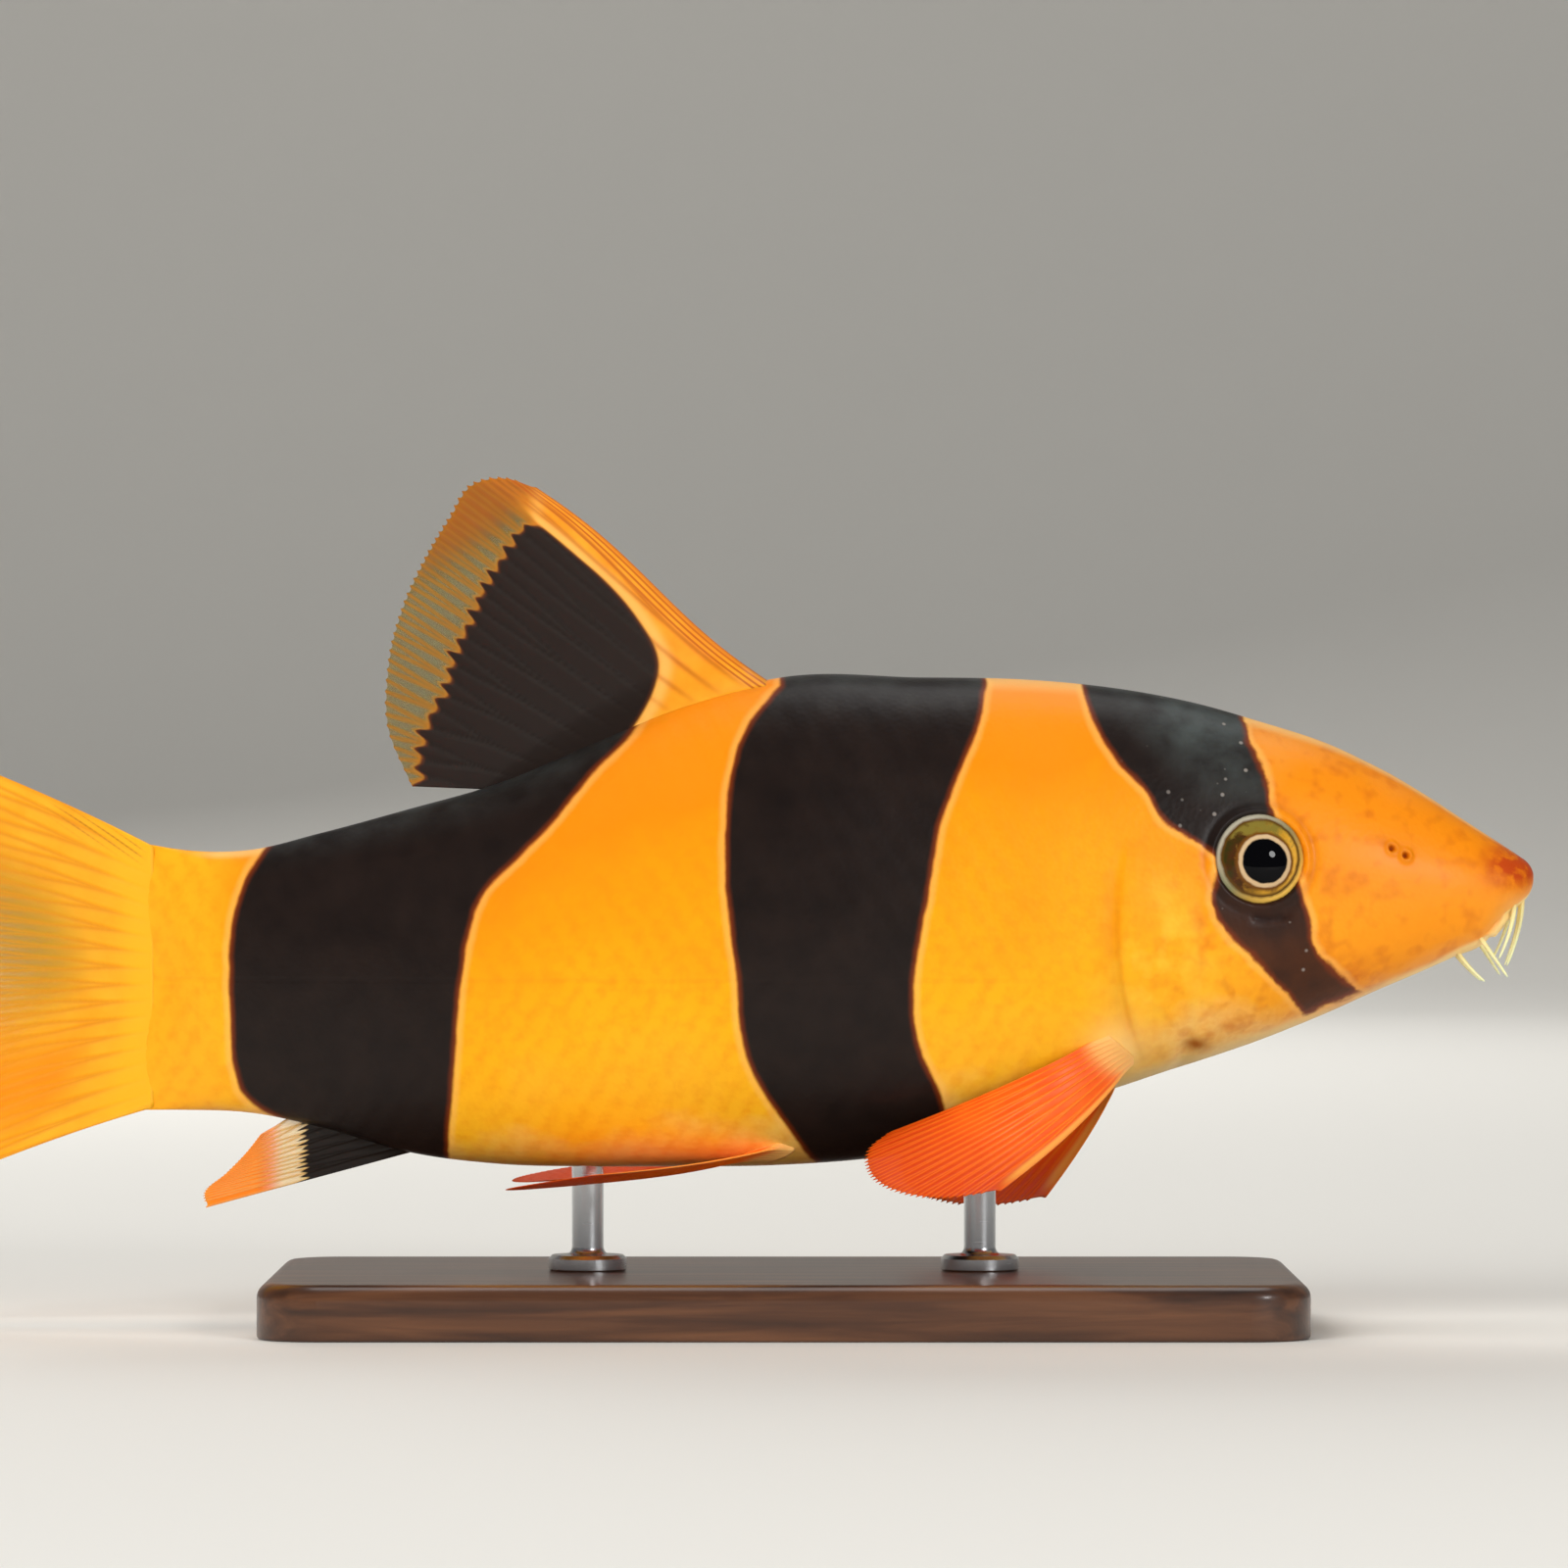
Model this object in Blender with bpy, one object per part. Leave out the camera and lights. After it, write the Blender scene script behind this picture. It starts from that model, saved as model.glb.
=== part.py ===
"""A clown loach at life size, swimming level, held over a flat base by two short rods.

Run it with blender --background --python part.py. Lengths in the scene are metres, +Z is up,
the fish faces +X and its right flank faces -Y. Places on the fish are written in
millimetres: `behind` counts back from the snout tip, `side` is positive on the fish's left,
and `height` counts up from the lowest line of the belly.
"""

import math

import bmesh
import bpy
import numpy as np
from mathutils import Matrix, Vector
from mathutils.bvhtree import BVHTree

MM = 0.001
GAP = 0.3
Y_AXIS = Vector((0, 1, 0))

TOTAL_LENGTH = 143.0
TAIL_BASE = 113.2
BELLY_ABOVE_FLOOR = 13.0
SNOUT_X = TOTAL_LENGTH / 2

# Behind the snout: the back's height, the belly's height, half the width, and how far up
# the section, as a share of its depth, it is widest.
BODY_STATIONS = (
    (0.0, 23.6, 23.6, 0.0, 0.50),
    (0.5, 24.8, 22.0, 1.6, 0.45),
    (1.3, 25.4, 21.2, 2.4, 0.42),
    (2.5, 26.2, 20.2, 3.1, 0.40),
    (4.2, 27.3, 18.1, 3.8, 0.40),
    (6.5, 28.8, 17.1, 4.5, 0.39),
    (9.2, 30.6, 15.9, 5.2, 0.38),
    (13.2, 33.2, 14.2, 6.1, 0.38),
    (17.2, 34.7, 12.4, 6.8, 0.39),
    (22.0, 36.2, 10.5, 7.3, 0.40),
    (28.0, 37.9, 8.4, 7.9, 0.41),
    (34.0, 39.0, 6.5, 8.6, 0.41),
    (41.0, 39.7, 3.9, 9.3, 0.41),
    (50.0, 39.9, 1.3, 9.8, 0.42),
    (62.0, 39.8, 0.1, 9.9, 0.42),
    (70.0, 37.5, 0.0, 9.3, 0.43),
    (77.2, 34.4, 0.0, 8.3, 0.44),
    (84.4, 31.3, 0.2, 7.0, 0.46),
    (92.0, 29.1, 1.2, 5.5, 0.48),
    (99.0, 27.2, 3.2, 4.2, 0.50),
    (105.0, 25.8, 4.4, 3.2, 0.50),
    (110.0, 25.8, 4.6, 2.5, 0.50),
    (TAIL_BASE, 26.3, 4.6, 2.0, 0.50),
)
# 2 is an ellipse, and more is squarer.
BACK_SQUARENESS = 2.05
BELLY_SQUARENESS = 2.35
RING_POINTS = 32
HEAD_RINGS = 20
TRUNK_RING_STEP = 2.6
STALK_RING_STEP = 2.4
STALK_FRONT = 102.3

# The head ends at the gill opening, which bows back round the cheek.
GILL_EDGE = 31.4
GILL_BOW = 2.6
GILL_MIDDLE_HEIGHT = 20.0
GILL_HALF_HEIGHT = 12.0
GILL_FADE = 16.0
GILL_FLAP_RISE = 0.45
GILL_FLAP_LENGTH = 4.0

EYE_BEHIND = 22.4
EYE_HEIGHT = 25.2
EYE_RADIUS = 4.1
EYE_HALF_DEPTH = 2.4
EYE_SUNK = 1.4
EYE_SIDES = 20

NOSTRILS = ((10.8, 24.9), (12.3, 25.7))
NOSTRIL_RADIUS = 0.42
NOSTRIL_RIM_RADIUS = 0.72

# The mouth faces forward and down under the snout. Its arch is drawn on a plane and
# dropped onto the skin.
MOUTH_BEHIND = 3.6
MOUTH_HEIGHT = 19.0
MOUTH_FACING = Vector((0.80, 0.0, -0.60))
MOUTH_ARCH_TURN = math.radians(105)
UPPER_LIP_RADIUS = 2.25
MOUTH_LINE_RADIUS = 1.75
LOWER_LIP_RADIUS = 1.25
LIP_THICKNESS = 0.52
MOUTH_LINE_THICKNESS = 0.24

SPINE_GROOVE = ((20.2, 20.7), (21.6, 20.3), (23.2, 20.4))
SPINE_GROOVE_RADIUS = 0.28

# Each barbel: root behind the snout, root height, root side, and the tip's three.
BARBELS = {
    "rostral_inner": ((0.6, 21.6, 0.8), (2.3, 16.3, 1.1)),
    "rostral_outer": ((1.3, 21.2, 1.9), (3.1, 16.9, 2.8)),
    "maxillary": ((4.4, 18.5, 2.7), (2.4, 15.5, 3.8)),
    "mandibular": ((6.3, 17.3, 1.5), (4.1, 15.1, 1.9)),
}
BARBEL_ROOT_RADIUS = 0.36
BARBEL_TIP_RADIUS = 0.2
BARBEL_SIDES = 8
BARBEL_STEPS = 6

# Half thicknesses of a fin, and the places of a ray's two feet in its pitch.
MEMBRANE_HALF = 0.26
RAY_HALF = 0.45
TIP_THINNING = 0.3
RAY_COLUMNS = (0.0, 0.24, 0.76)
TIP_NOTCH = 0.028

DORSAL_FRONT = 62.0
DORSAL_REAR = 84.6
DORSAL_RAYS = 12
DORSAL_S_BEND = 1.1
# Share of the way along the fin's base: behind and height of the ray's tip.
DORSAL_TIPS = (
    (0.00, 81.4, 55.4),
    (0.09, 84.2, 56.3),
    (0.18, 86.8, 55.8),
    (0.30, 88.7, 53.0),
    (0.45, 90.7, 49.6),
    (0.60, 92.5, 45.6),
    (0.75, 93.6, 41.0),
    (0.88, 93.6, 35.8),
    (1.00, 91.6, 31.0),
)

ANAL_FRONT = 90.6
ANAL_REAR = 101.2
ANAL_RAYS = 8
ANAL_TIPS = (
    (0.00, 108.4, -3.4),
    (0.20, 108.6, -2.2),
    (0.50, 106.8, -0.6),
    (0.75, 105.2, 1.0),
    (1.00, 103.9, 2.6),
)

TAIL_MIDDLE = 15.6
TAIL_LOBE_RAYS = 9
TAIL_ROOT_HALF = 1.6
TAIL_ROOT_LENGTH = 0.3
TAIL_BOW = 1.6
TAIL_SWAY = 1.2
UPPER_TAIL_ROOTS = (26.1, TAIL_MIDDLE + GAP / 2)
UPPER_TAIL_TIPS = (
    (0.00, 143.0, 38.2),
    (0.12, 141.4, 36.4),
    (0.30, 136.6, 30.8),
    (0.50, 132.4, 25.8),
    (0.75, 129.0, 20.4),
    (1.00, 127.6, 16.4),
)
LOWER_TAIL_ROOTS = (4.8, TAIL_MIDDLE - GAP / 2)
LOWER_TAIL_TIPS = (
    (0.00, 142.4, -7.2),
    (0.12, 141.0, -5.4),
    (0.30, 136.3, 0.2),
    (0.50, 132.2, 5.2),
    (0.75, 128.8, 10.7),
    (1.00, 127.4, 15.0),
)

# A paired fin's root runs between two places on the flank, given as behind and height.
PECTORAL_ROOT = ((32.9, 8.4), (35.2, 10.9))
PECTORAL_RAYS = 10
PECTORAL_STEM = 1.6
# Share of the way from the leading ray: behind, side and height of the ray's tip.
PECTORAL_TIPS = {
    "right": (
        (0.00, 43.8, 13.2, -1.4),
        (0.20, 48.4, 14.2, -2.0),
        (0.45, 52.6, 13.6, -1.4),
        (0.70, 54.6, 11.8, 0.2),
        (0.88, 54.4, 10.0, 1.9),
        (1.00, 52.8, 8.9, 3.1),
    ),
    "left": (
        (0.00, 39.4, 13.4, -3.2),
        (0.20, 43.8, 15.2, -4.0),
        (0.45, 48.4, 15.2, -3.6),
        (0.70, 51.2, 13.6, -2.0),
        (0.88, 51.6, 11.6, 0.2),
        (1.00, 50.4, 9.8, 2.4),
    ),
}

PELVIC_ROOT = ((60.4, 1.9), (63.2, 0.8))
PELVIC_RAYS = 8
PELVIC_STEM = 1.0
PELVIC_TIPS = (
    (0.00, 76.6, 11.8, -0.2),
    (0.20, 80.4, 11.4, -0.8),
    (0.50, 83.4, 9.4, -1.4),
    (0.80, 82.8, 6.6, -1.6),
    (1.00, 79.6, 4.6, -1.3),
)

BASE_LENGTH = 84.0
BASE_WIDTH = 44.0
BASE_THICKNESS = 4.5
BASE_CORNER = 5.0
BASE_TOP_EDGE = 1.2
ROD_PLACES = {"stand_rod_front": 45.2, "stand_rod_rear": 77.2}
ROD_RADIUS = 1.3
ROD_SIDES = 20
ROD_FOOT_RADIUS = 3.2
ROD_FOOT_HEIGHT = 1.0

ORANGE = (0.90, 0.32, 0.02)
YELLOW = (0.92, 0.45, 0.03)
BLACK_BROWN = (0.03, 0.02, 0.015)
RED_ORANGE = (0.90, 0.12, 0.01)
EYE_BLACK = (0.01, 0.01, 0.01)
BARBEL_CREAM = (0.85, 0.75, 0.35)
DARK_WOOD = (0.09, 0.045, 0.02)
STEEL = (0.6, 0.6, 0.6)


class Curve:
    """A smooth curve through the rows of a table, looked up by the table's first column."""

    def __init__(self, rows, stretch=float):
        table = np.array(rows, float)
        self.stretch = stretch
        self.knots = np.array([stretch(x) for x in table[:, 0]])
        self.values = table[:, 1:]
        self.slopes = np.gradient(self.values, self.knots, axis=0)

    def at(self, x):
        x = min(max(self.stretch(x), self.knots[0]), self.knots[-1])
        i = min(np.searchsorted(self.knots, x, side="right") - 1, len(self.knots) - 2)
        step = self.knots[i + 1] - self.knots[i]
        t = (x - self.knots[i]) / step
        near = (1 + 2 * t) * (1 - t) ** 2 * self.values[i]
        far = t * t * (3 - 2 * t) * self.values[i + 1]
        leave = step * t * (1 - t) ** 2 * self.slopes[i]
        arrive = step * t * t * (t - 1) * self.slopes[i + 1]
        return near + far + leave + arrive


# The stations are joined over the square root of the distance, which rounds the snout.
BODY = Curve(BODY_STATIONS, stretch=math.sqrt)


def place(behind, side, height):
    """A place on the fish, in the scene's metres."""
    return Vector((SNOUT_X - behind, side, BELLY_ABOVE_FLOOR + height)) * MM


def ramp(x):
    """0 below 0, 1 above 1, and a smooth rise between."""
    x = min(max(x, 0.0), 1.0)
    return x * x * (3 - 2 * x)


def section(behind):
    back, belly, half_width, share = BODY.at(behind)
    return back, belly, half_width, belly + share * (back - belly)


def skin_at(behind, angle):
    """Side and height of the skin: angle 0 is the back, and a quarter turn the left flank."""
    back, belly, half_width, middle = section(behind)
    up = math.cos(angle)
    out = math.sin(angle)
    power = 2 / (BACK_SQUARENESS if up > 0 else BELLY_SQUARENESS)
    reach = back - middle if up > 0 else belly - middle
    side = half_width * math.copysign(abs(out) ** power, out)
    return side, middle + reach * abs(up) ** power


def flank(behind, height):
    """Half the body's width at a height."""
    back, belly, half_width, middle = section(behind)
    above = height > middle
    power = BACK_SQUARENESS if above else BELLY_SQUARENESS
    reach = back - middle if above else middle - belly
    share = min(abs(height - middle) / reach, 1.0)
    return half_width * (1 - share**power) ** (1 / power)


def under_side(behind, side):
    """Height of the belly's skin at a distance from the middle line."""
    _, belly, half_width, middle = section(behind)
    share = min(abs(side) / half_width, 1.0)
    return middle - (middle - belly) * (1 - share**BELLY_SQUARENESS) ** (1 / BELLY_SQUARENESS)


def flank_point(behind, height, hand):
    """A point of the skin and the direction that it faces. hand is 1 on the left, -1 on the right."""
    step = 0.1
    here = place(behind, hand * flank(behind, height), height)
    back = place(behind + step, hand * flank(behind + step, height), height)
    above = place(behind, hand * flank(behind, height + step), height + step)
    facing = (back - here).cross(above - here).normalized()
    return here, facing * math.copysign(1, facing.y * hand)


def bowed(station, height):
    """How far back a ring lies at a height: rings near the gill opening bow with it."""
    bow = GILL_BOW * (1 - ((height - GILL_MIDDLE_HEIGHT) / GILL_HALF_HEIGHT) ** 2)
    return station + bow * ramp(1 - abs(station - GILL_EDGE) / GILL_FADE)


def gill_flap(station, height):
    """How far the cheek's rear edge stands out over the shoulder."""
    if station > GILL_EDGE:
        return 0.0
    rise = ramp(1 - (GILL_EDGE - station) / GILL_FLAP_LENGTH)
    window = ramp(1.6 - abs(height - GILL_MIDDLE_HEIGHT) / GILL_HALF_HEIGHT)
    return GILL_FLAP_RISE * rise * window


def ring_point(station, angle):
    _, height = skin_at(station, angle)
    behind = bowed(station, height)
    side, height = skin_at(behind, angle)
    if abs(side) > MM:
        side += math.copysign(gill_flap(station, height), side)
    return place(behind, side, height)


def paint(obj, colour, roughness=0.4, metallic=0.0):
    material = bpy.data.materials.new(obj.name)
    material.use_nodes = True
    shader = material.node_tree.nodes["Principled BSDF"]
    shader.inputs["Base Color"].default_value = (*colour, 1)
    shader.inputs["Roughness"].default_value = roughness
    shader.inputs["Metallic"].default_value = metallic
    obj.data.materials.clear()
    obj.data.materials.append(material)


def add_object(name, bm, smooth_angle=40):
    """Turns a bmesh into an object of the scene."""
    mesh = bpy.data.meshes.new(name)
    bmesh.ops.recalc_face_normals(bm, faces=bm.faces)
    if bm.calc_volume(signed=True) < 0:
        bmesh.ops.reverse_faces(bm, faces=bm.faces)
    bm.to_mesh(mesh)
    bm.free()
    mesh.shade_smooth()
    mesh.set_sharp_from_angle(angle=math.radians(smooth_angle))
    obj = bpy.data.objects.new(name, mesh)
    bpy.context.scene.collection.objects.link(obj)
    return obj


def add_sheet(bm, columns, rows, point):
    """Adds a grid whose points lie at point(u, v), with u and v from 0 to 1."""
    made = bmesh.ops.create_grid(bm, x_segments=columns, y_segments=rows, size=0.5)
    for vert in made["verts"]:
        vert.co = point(vert.co.x + 0.5, vert.co.y + 0.5)


def body_part(name, stations, capped):
    """One length of the body, closed with a flat-sided cap at each station in capped."""
    bm = bmesh.new()
    last = len(stations) - 1

    def around(u, v):
        return ring_point(stations[round(v * last)], 2 * math.pi * u)

    add_sheet(bm, RING_POINTS, last, around)
    for station in capped:

        def across(u, v):
            return ring_point(station, math.pi * v * (1 if u > 0.5 else -1))

        add_sheet(bm, 1, RING_POINTS // 2, across)
    bmesh.ops.remove_doubles(bm, verts=bm.verts, dist=0.001 * MM)
    return add_object(name, bm)


def spread(start, end, step):
    """Evenly spaced stations from start to end, about a step apart."""
    count = round((end - start) / step)
    return [start + (end - start) * i / count for i in range(count + 1)]


def tube(points, radii, sides, level):
    """A closed bmesh round a path. level is a direction that the path never takes."""
    bm = bmesh.new()
    last = len(points) - 1
    frames = []
    for i in range(last + 1):
        along = (points[min(i + 1, last)] - points[max(i - 1, 0)]).normalized()
        out = along.cross(level).normalized()
        frames.append((out, along.cross(out)))

    def around(u, v):
        i = round(v * last)
        turn = 2 * math.pi * u
        out, over = frames[i]
        return points[i] + (out * math.cos(turn) + over * math.sin(turn)) * radii[i]

    add_sheet(bm, sides, last, around)
    bmesh.ops.remove_doubles(bm, verts=bm.verts, dist=0.001 * MM)
    bmesh.ops.holes_fill(bm, edges=bm.edges, sides=0)
    return bm


def keep_largest(mesh):
    """Drops every loose piece of a mesh but the one with the most faces."""
    bm = bmesh.new()
    bm.from_mesh(mesh)
    left = set(bm.faces)
    pieces = []
    while left:
        piece = {left.pop()}
        edge = list(piece)
        while edge:
            near = {f for e in edge.pop().edges for f in e.link_faces} - piece
            piece |= near
            edge.extend(near)
        left -= piece
        pieces.append(piece)
    largest = max(pieces, key=len)
    loose = [face for face in bm.faces if face not in largest]
    bmesh.ops.delete(bm, geom=loose, context="FACES")
    bm.to_mesh(mesh)
    bm.free()


def combine(target, tools, operation):
    """Joins tools to the target or cuts them from it, and removes them."""
    group = bpy.data.collections.new("tools")
    bpy.context.scene.collection.children.link(group)
    for tool in tools:
        group.objects.link(tool)
    modifier = target.modifiers.new(operation, "BOOLEAN")
    modifier.operation = operation
    modifier.operand_type = "COLLECTION"
    modifier.collection = group
    modifier.solver = "EXACT"
    bpy.context.view_layer.update()
    graph = bpy.context.evaluated_depsgraph_get()
    result = bpy.data.meshes.new_from_object(target.evaluated_get(graph))
    target.modifiers.clear()
    target.data = result
    for tool in tools:
        bpy.data.objects.remove(tool)
    bpy.data.collections.remove(group)
    keep_largest(target.data)


def surface_of(obj):
    bm = bmesh.new()
    bm.from_mesh(obj.data)
    tree = BVHTree.FromBMesh(bm)
    bm.free()
    return tree


def eye_matrix(hand, grow=0.0):
    """Carries a unit sphere with its poles on Y to an eyeball, flattened along its axis."""
    here, facing = flank_point(EYE_BEHIND, EYE_HEIGHT, hand)
    turn = Vector((0, hand, 0)).rotation_difference(facing).to_matrix().to_4x4()
    size = Matrix.Diagonal((EYE_RADIUS + grow, EYE_HALF_DEPTH + grow, EYE_RADIUS + grow, 1))
    scale = Matrix.Scale(MM, 4)
    return Matrix.Translation(here - facing * EYE_SUNK * MM) @ turn @ scale @ size


def eyeball(name, hand, grow=0.0):
    bm = bmesh.new()
    poles_on_y = Matrix.Rotation(math.radians(90), 4, "X")
    bmesh.ops.create_uvsphere(
        bm,
        u_segments=EYE_SIDES,
        v_segments=EYE_SIDES // 2,
        radius=1,
        matrix=eye_matrix(hand, grow) @ poles_on_y,
    )
    return add_object(name, bm)


def bead(name, centre, radius):
    bm = bmesh.new()
    bmesh.ops.create_icosphere(
        bm, subdivisions=2, radius=radius * MM, matrix=Matrix.Translation(centre)
    )
    return add_object(name, bm)


def mouth_arch(tree, radius, thickness, name):
    """A tube along an arch of the mouth, laid on the skin under the snout."""
    down = Vector((MOUTH_FACING.z, 0, -MOUTH_FACING.x))
    centre = place(MOUTH_BEHIND, 0, MOUTH_HEIGHT)
    points = []
    steps = 14
    for i in range(steps + 1):
        turn = MOUTH_ARCH_TURN * (2 * i / steps - 1)
        reach = Vector((0, math.sin(turn), 0)) - down * math.cos(turn)
        start = centre + reach * radius * MM + MOUTH_FACING * 10 * MM
        hit = tree.ray_cast(start, -MOUTH_FACING)[0]
        points.append(hit - MOUTH_FACING * 0.12 * MM)
    radii = [thickness * MM] * (steps + 1)
    radii[0] = radii[-1] = 0.4 * thickness * MM
    return add_object(name, tube(points, radii, 8, MOUTH_FACING))


def make_head():
    rings = [GILL_EDGE - GAP / 2]
    rings = [rings[0] * (i / HEAD_RINGS) ** 1.5 for i in range(HEAD_RINGS + 1)]
    head = body_part("head", rings, [rings[-1]])
    tree = surface_of(head)
    added = [
        mouth_arch(tree, UPPER_LIP_RADIUS, LIP_THICKNESS, "upper_lip"),
        mouth_arch(tree, LOWER_LIP_RADIUS, LIP_THICKNESS, "lower_lip"),
    ]
    cut = [mouth_arch(tree, MOUTH_LINE_RADIUS, MOUTH_LINE_THICKNESS, "mouth_line")]
    for hand in (-1, 1):
        cut.append(eyeball("socket", hand, GAP))
        for behind, height in NOSTRILS:
            here, facing = flank_point(behind, height, hand)
            added.append(bead("rim", here - facing * 0.4 * MM, NOSTRIL_RIM_RADIUS))
            cut.append(bead("pit", here + facing * 0.15 * MM, NOSTRIL_RADIUS))
        groove = []
        for behind, height in SPINE_GROOVE:
            groove.append(flank_point(behind, height, hand)[0])
        radii = [SPINE_GROOVE_RADIUS * MM] * len(groove)
        cut.append(add_object("groove", tube(groove, radii, 6, Y_AXIS)))
    combine(head, added, "UNION")
    combine(head, cut, "DIFFERENCE")
    paint(head, ORANGE)
    return head


def make_body():
    front = GILL_EDGE + GAP / 2
    rear = STALK_FRONT - GAP / 2
    trunk = body_part("trunk", spread(front, rear, TRUNK_RING_STEP), [front, rear])
    paint(trunk, YELLOW)
    front = STALK_FRONT + GAP / 2
    stalk = body_part("tail_stalk", spread(front, TAIL_BASE, STALK_RING_STEP), [front, TAIL_BASE])
    paint(stalk, YELLOW)


def make_eyes():
    for side, hand in (("right", -1), ("left", 1)):
        paint(eyeball(f"eye_{side}", hand), EYE_BLACK, roughness=0.05)


def make_barbels(head):
    tree = surface_of(head)
    for kind, (root, tip) in BARBELS.items():
        for side, hand in (("right", -1), ("left", 1)):
            behind, height, out = root
            hit, facing, _, _ = tree.find_nearest(place(behind, hand * out, height))
            start = hit + facing * (GAP + 0.02) * MM
            behind, height, out = tip
            end = place(behind, hand * out, height)
            knee = start + facing * 1.2 * MM + (end - start) * 0.25
            points = []
            radii = []
            for i in range(BARBEL_STEPS + 1):
                v = i / BARBEL_STEPS
                points.append(bend(start, knee, end, v))
                radii.append((BARBEL_ROOT_RADIUS * (1 - v) + BARBEL_TIP_RADIUS * v) * MM)
            obj = add_object(f"barbel_{kind}_{side}", tube(points, radii, BARBEL_SIDES, Y_AXIS))
            paint(obj, BARBEL_CREAM)


def bend(start, knee, end, v):
    """A place along a smooth bend that leaves start towards knee."""
    return start * (1 - v) ** 2 + knee * 2 * v * (1 - v) + end * v * v


def make_fin(name, rays, rows, surface, colour, root_half=None, flat=False):
    """A closed membrane on surface(u, v), ridged along each ray and notched between them.

    flat fins are thickened straight across the fish, and others along their own normal.
    """
    bm = bmesh.new()
    columns = len(RAY_COLUMNS) * (rays - 1)
    bmesh.ops.create_grid(bm, x_segments=columns, y_segments=rows, size=0.5)
    bmesh.ops.triangulate(bm, faces=bm.faces)
    grown = bmesh.ops.extrude_face_region(bm, geom=bm.faces, use_keep_orig=True)
    outer = {part for part in grown["geom"] if isinstance(part, bmesh.types.BMVert)}
    for vert in bm.verts:
        ray, column = divmod(round((vert.co.x + 0.5) * columns), len(RAY_COLUMNS))
        u = (ray + RAY_COLUMNS[column]) / (rays - 1)
        v = vert.co.y + 0.5
        if column:
            v *= 1 - TIP_NOTCH
        half = (MEMBRANE_HALF if column else RAY_HALF) * (1 - TIP_THINNING * v)
        if root_half:
            half += (root_half - half) * (1 - ramp(v / TAIL_ROOT_LENGTH))
        here = surface(u, v)
        if flat:
            thick = Y_AXIS
        else:
            thick = normal_of(surface, u, v)
        vert.co = here + thick * half * MM * (1 if vert in outer else -1)
    obj = add_object(name, bm)
    paint(obj, colour)


def normal_of(surface, u, v):
    """The direction that a surface faces, from points a little to each side."""
    step = 0.02
    along_u = surface(min(u + step, 1), v) - surface(max(u - step, 0), v)
    along_v = surface(u, min(v + step, 1)) - surface(u, max(v - step, 0))
    return along_u.cross(along_v).normalized()


def make_dorsal_fin():
    tips = Curve(DORSAL_TIPS)

    def surface(u, v):
        behind = DORSAL_FRONT + (DORSAL_REAR - DORSAL_FRONT) * u
        root = place(behind, 0, section(behind)[0] + GAP)
        behind, height = tips.at(u)
        sway = 0.8 * math.sin(math.pi * u) * v * v
        tip = place(behind, sway, height)
        s_bend = DORSAL_S_BEND * (1 - u) ** 2 * math.sin(2 * math.pi * v) * MM
        return root.lerp(tip, v) - Vector((0, 0, s_bend))

    make_fin("dorsal_fin", DORSAL_RAYS, 10, surface, BLACK_BROWN, flat=True)


def make_anal_fin():
    tips = Curve(ANAL_TIPS)

    def surface(u, v):
        behind = ANAL_FRONT + (ANAL_REAR - ANAL_FRONT) * u
        root = place(behind, 0, section(behind)[1] - GAP)
        behind, height = tips.at(u)
        return root.lerp(place(behind, 0.5 * math.sin(math.pi * v), height), v)

    make_fin("anal_fin", ANAL_RAYS, 7, surface, BLACK_BROWN, flat=True)


def make_tail_fin():
    lobes = {
        "caudal_fin_upper": (UPPER_TAIL_ROOTS, UPPER_TAIL_TIPS),
        "caudal_fin_lower": (LOWER_TAIL_ROOTS, LOWER_TAIL_TIPS),
    }
    for name, (roots, tip_rows) in lobes.items():
        tips = Curve(tip_rows)

        def surface(u, v):
            root = place(TAIL_BASE + GAP, 0, roots[0] + (roots[1] - roots[0]) * u)
            behind, height = tips.at(u)
            tip = place(behind, TAIL_SWAY, height)
            bow = Vector((0, 0, TAIL_BOW * (1 - u) * MM))
            return bend(root, root.lerp(tip, 0.45) + bow, tip, v)

        make_fin(name, TAIL_LOBE_RAYS, 10, surface, YELLOW, TAIL_ROOT_HALF, flat=True)


def make_paired_fin(name, hand, rays, root, stem, tip_rows):
    tips = Curve(tip_rows)

    def surface(u, v):
        behind = root[0][0] + (root[1][0] - root[0][0]) * u
        height = root[0][1] + (root[1][1] - root[0][1]) * u
        here, facing = flank_point(behind, height, hand)
        start = here + facing * GAP * MM
        behind, side, height = tips.at(u)
        end = place(behind, hand * side, height)
        knee = start + facing * stem * MM + (end - start) * 0.3
        return bend(start, knee, end, v)

    make_fin(name, rays, 8, surface, RED_ORANGE)


def make_paired_fins():
    for side, hand in (("right", -1), ("left", 1)):
        make_paired_fin(
            f"pectoral_fin_{side}",
            hand,
            PECTORAL_RAYS,
            PECTORAL_ROOT,
            PECTORAL_STEM,
            PECTORAL_TIPS[side],
        )
        make_paired_fin(
            f"pelvic_fin_{side}", hand, PELVIC_RAYS, PELVIC_ROOT, PELVIC_STEM, PELVIC_TIPS
        )


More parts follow.
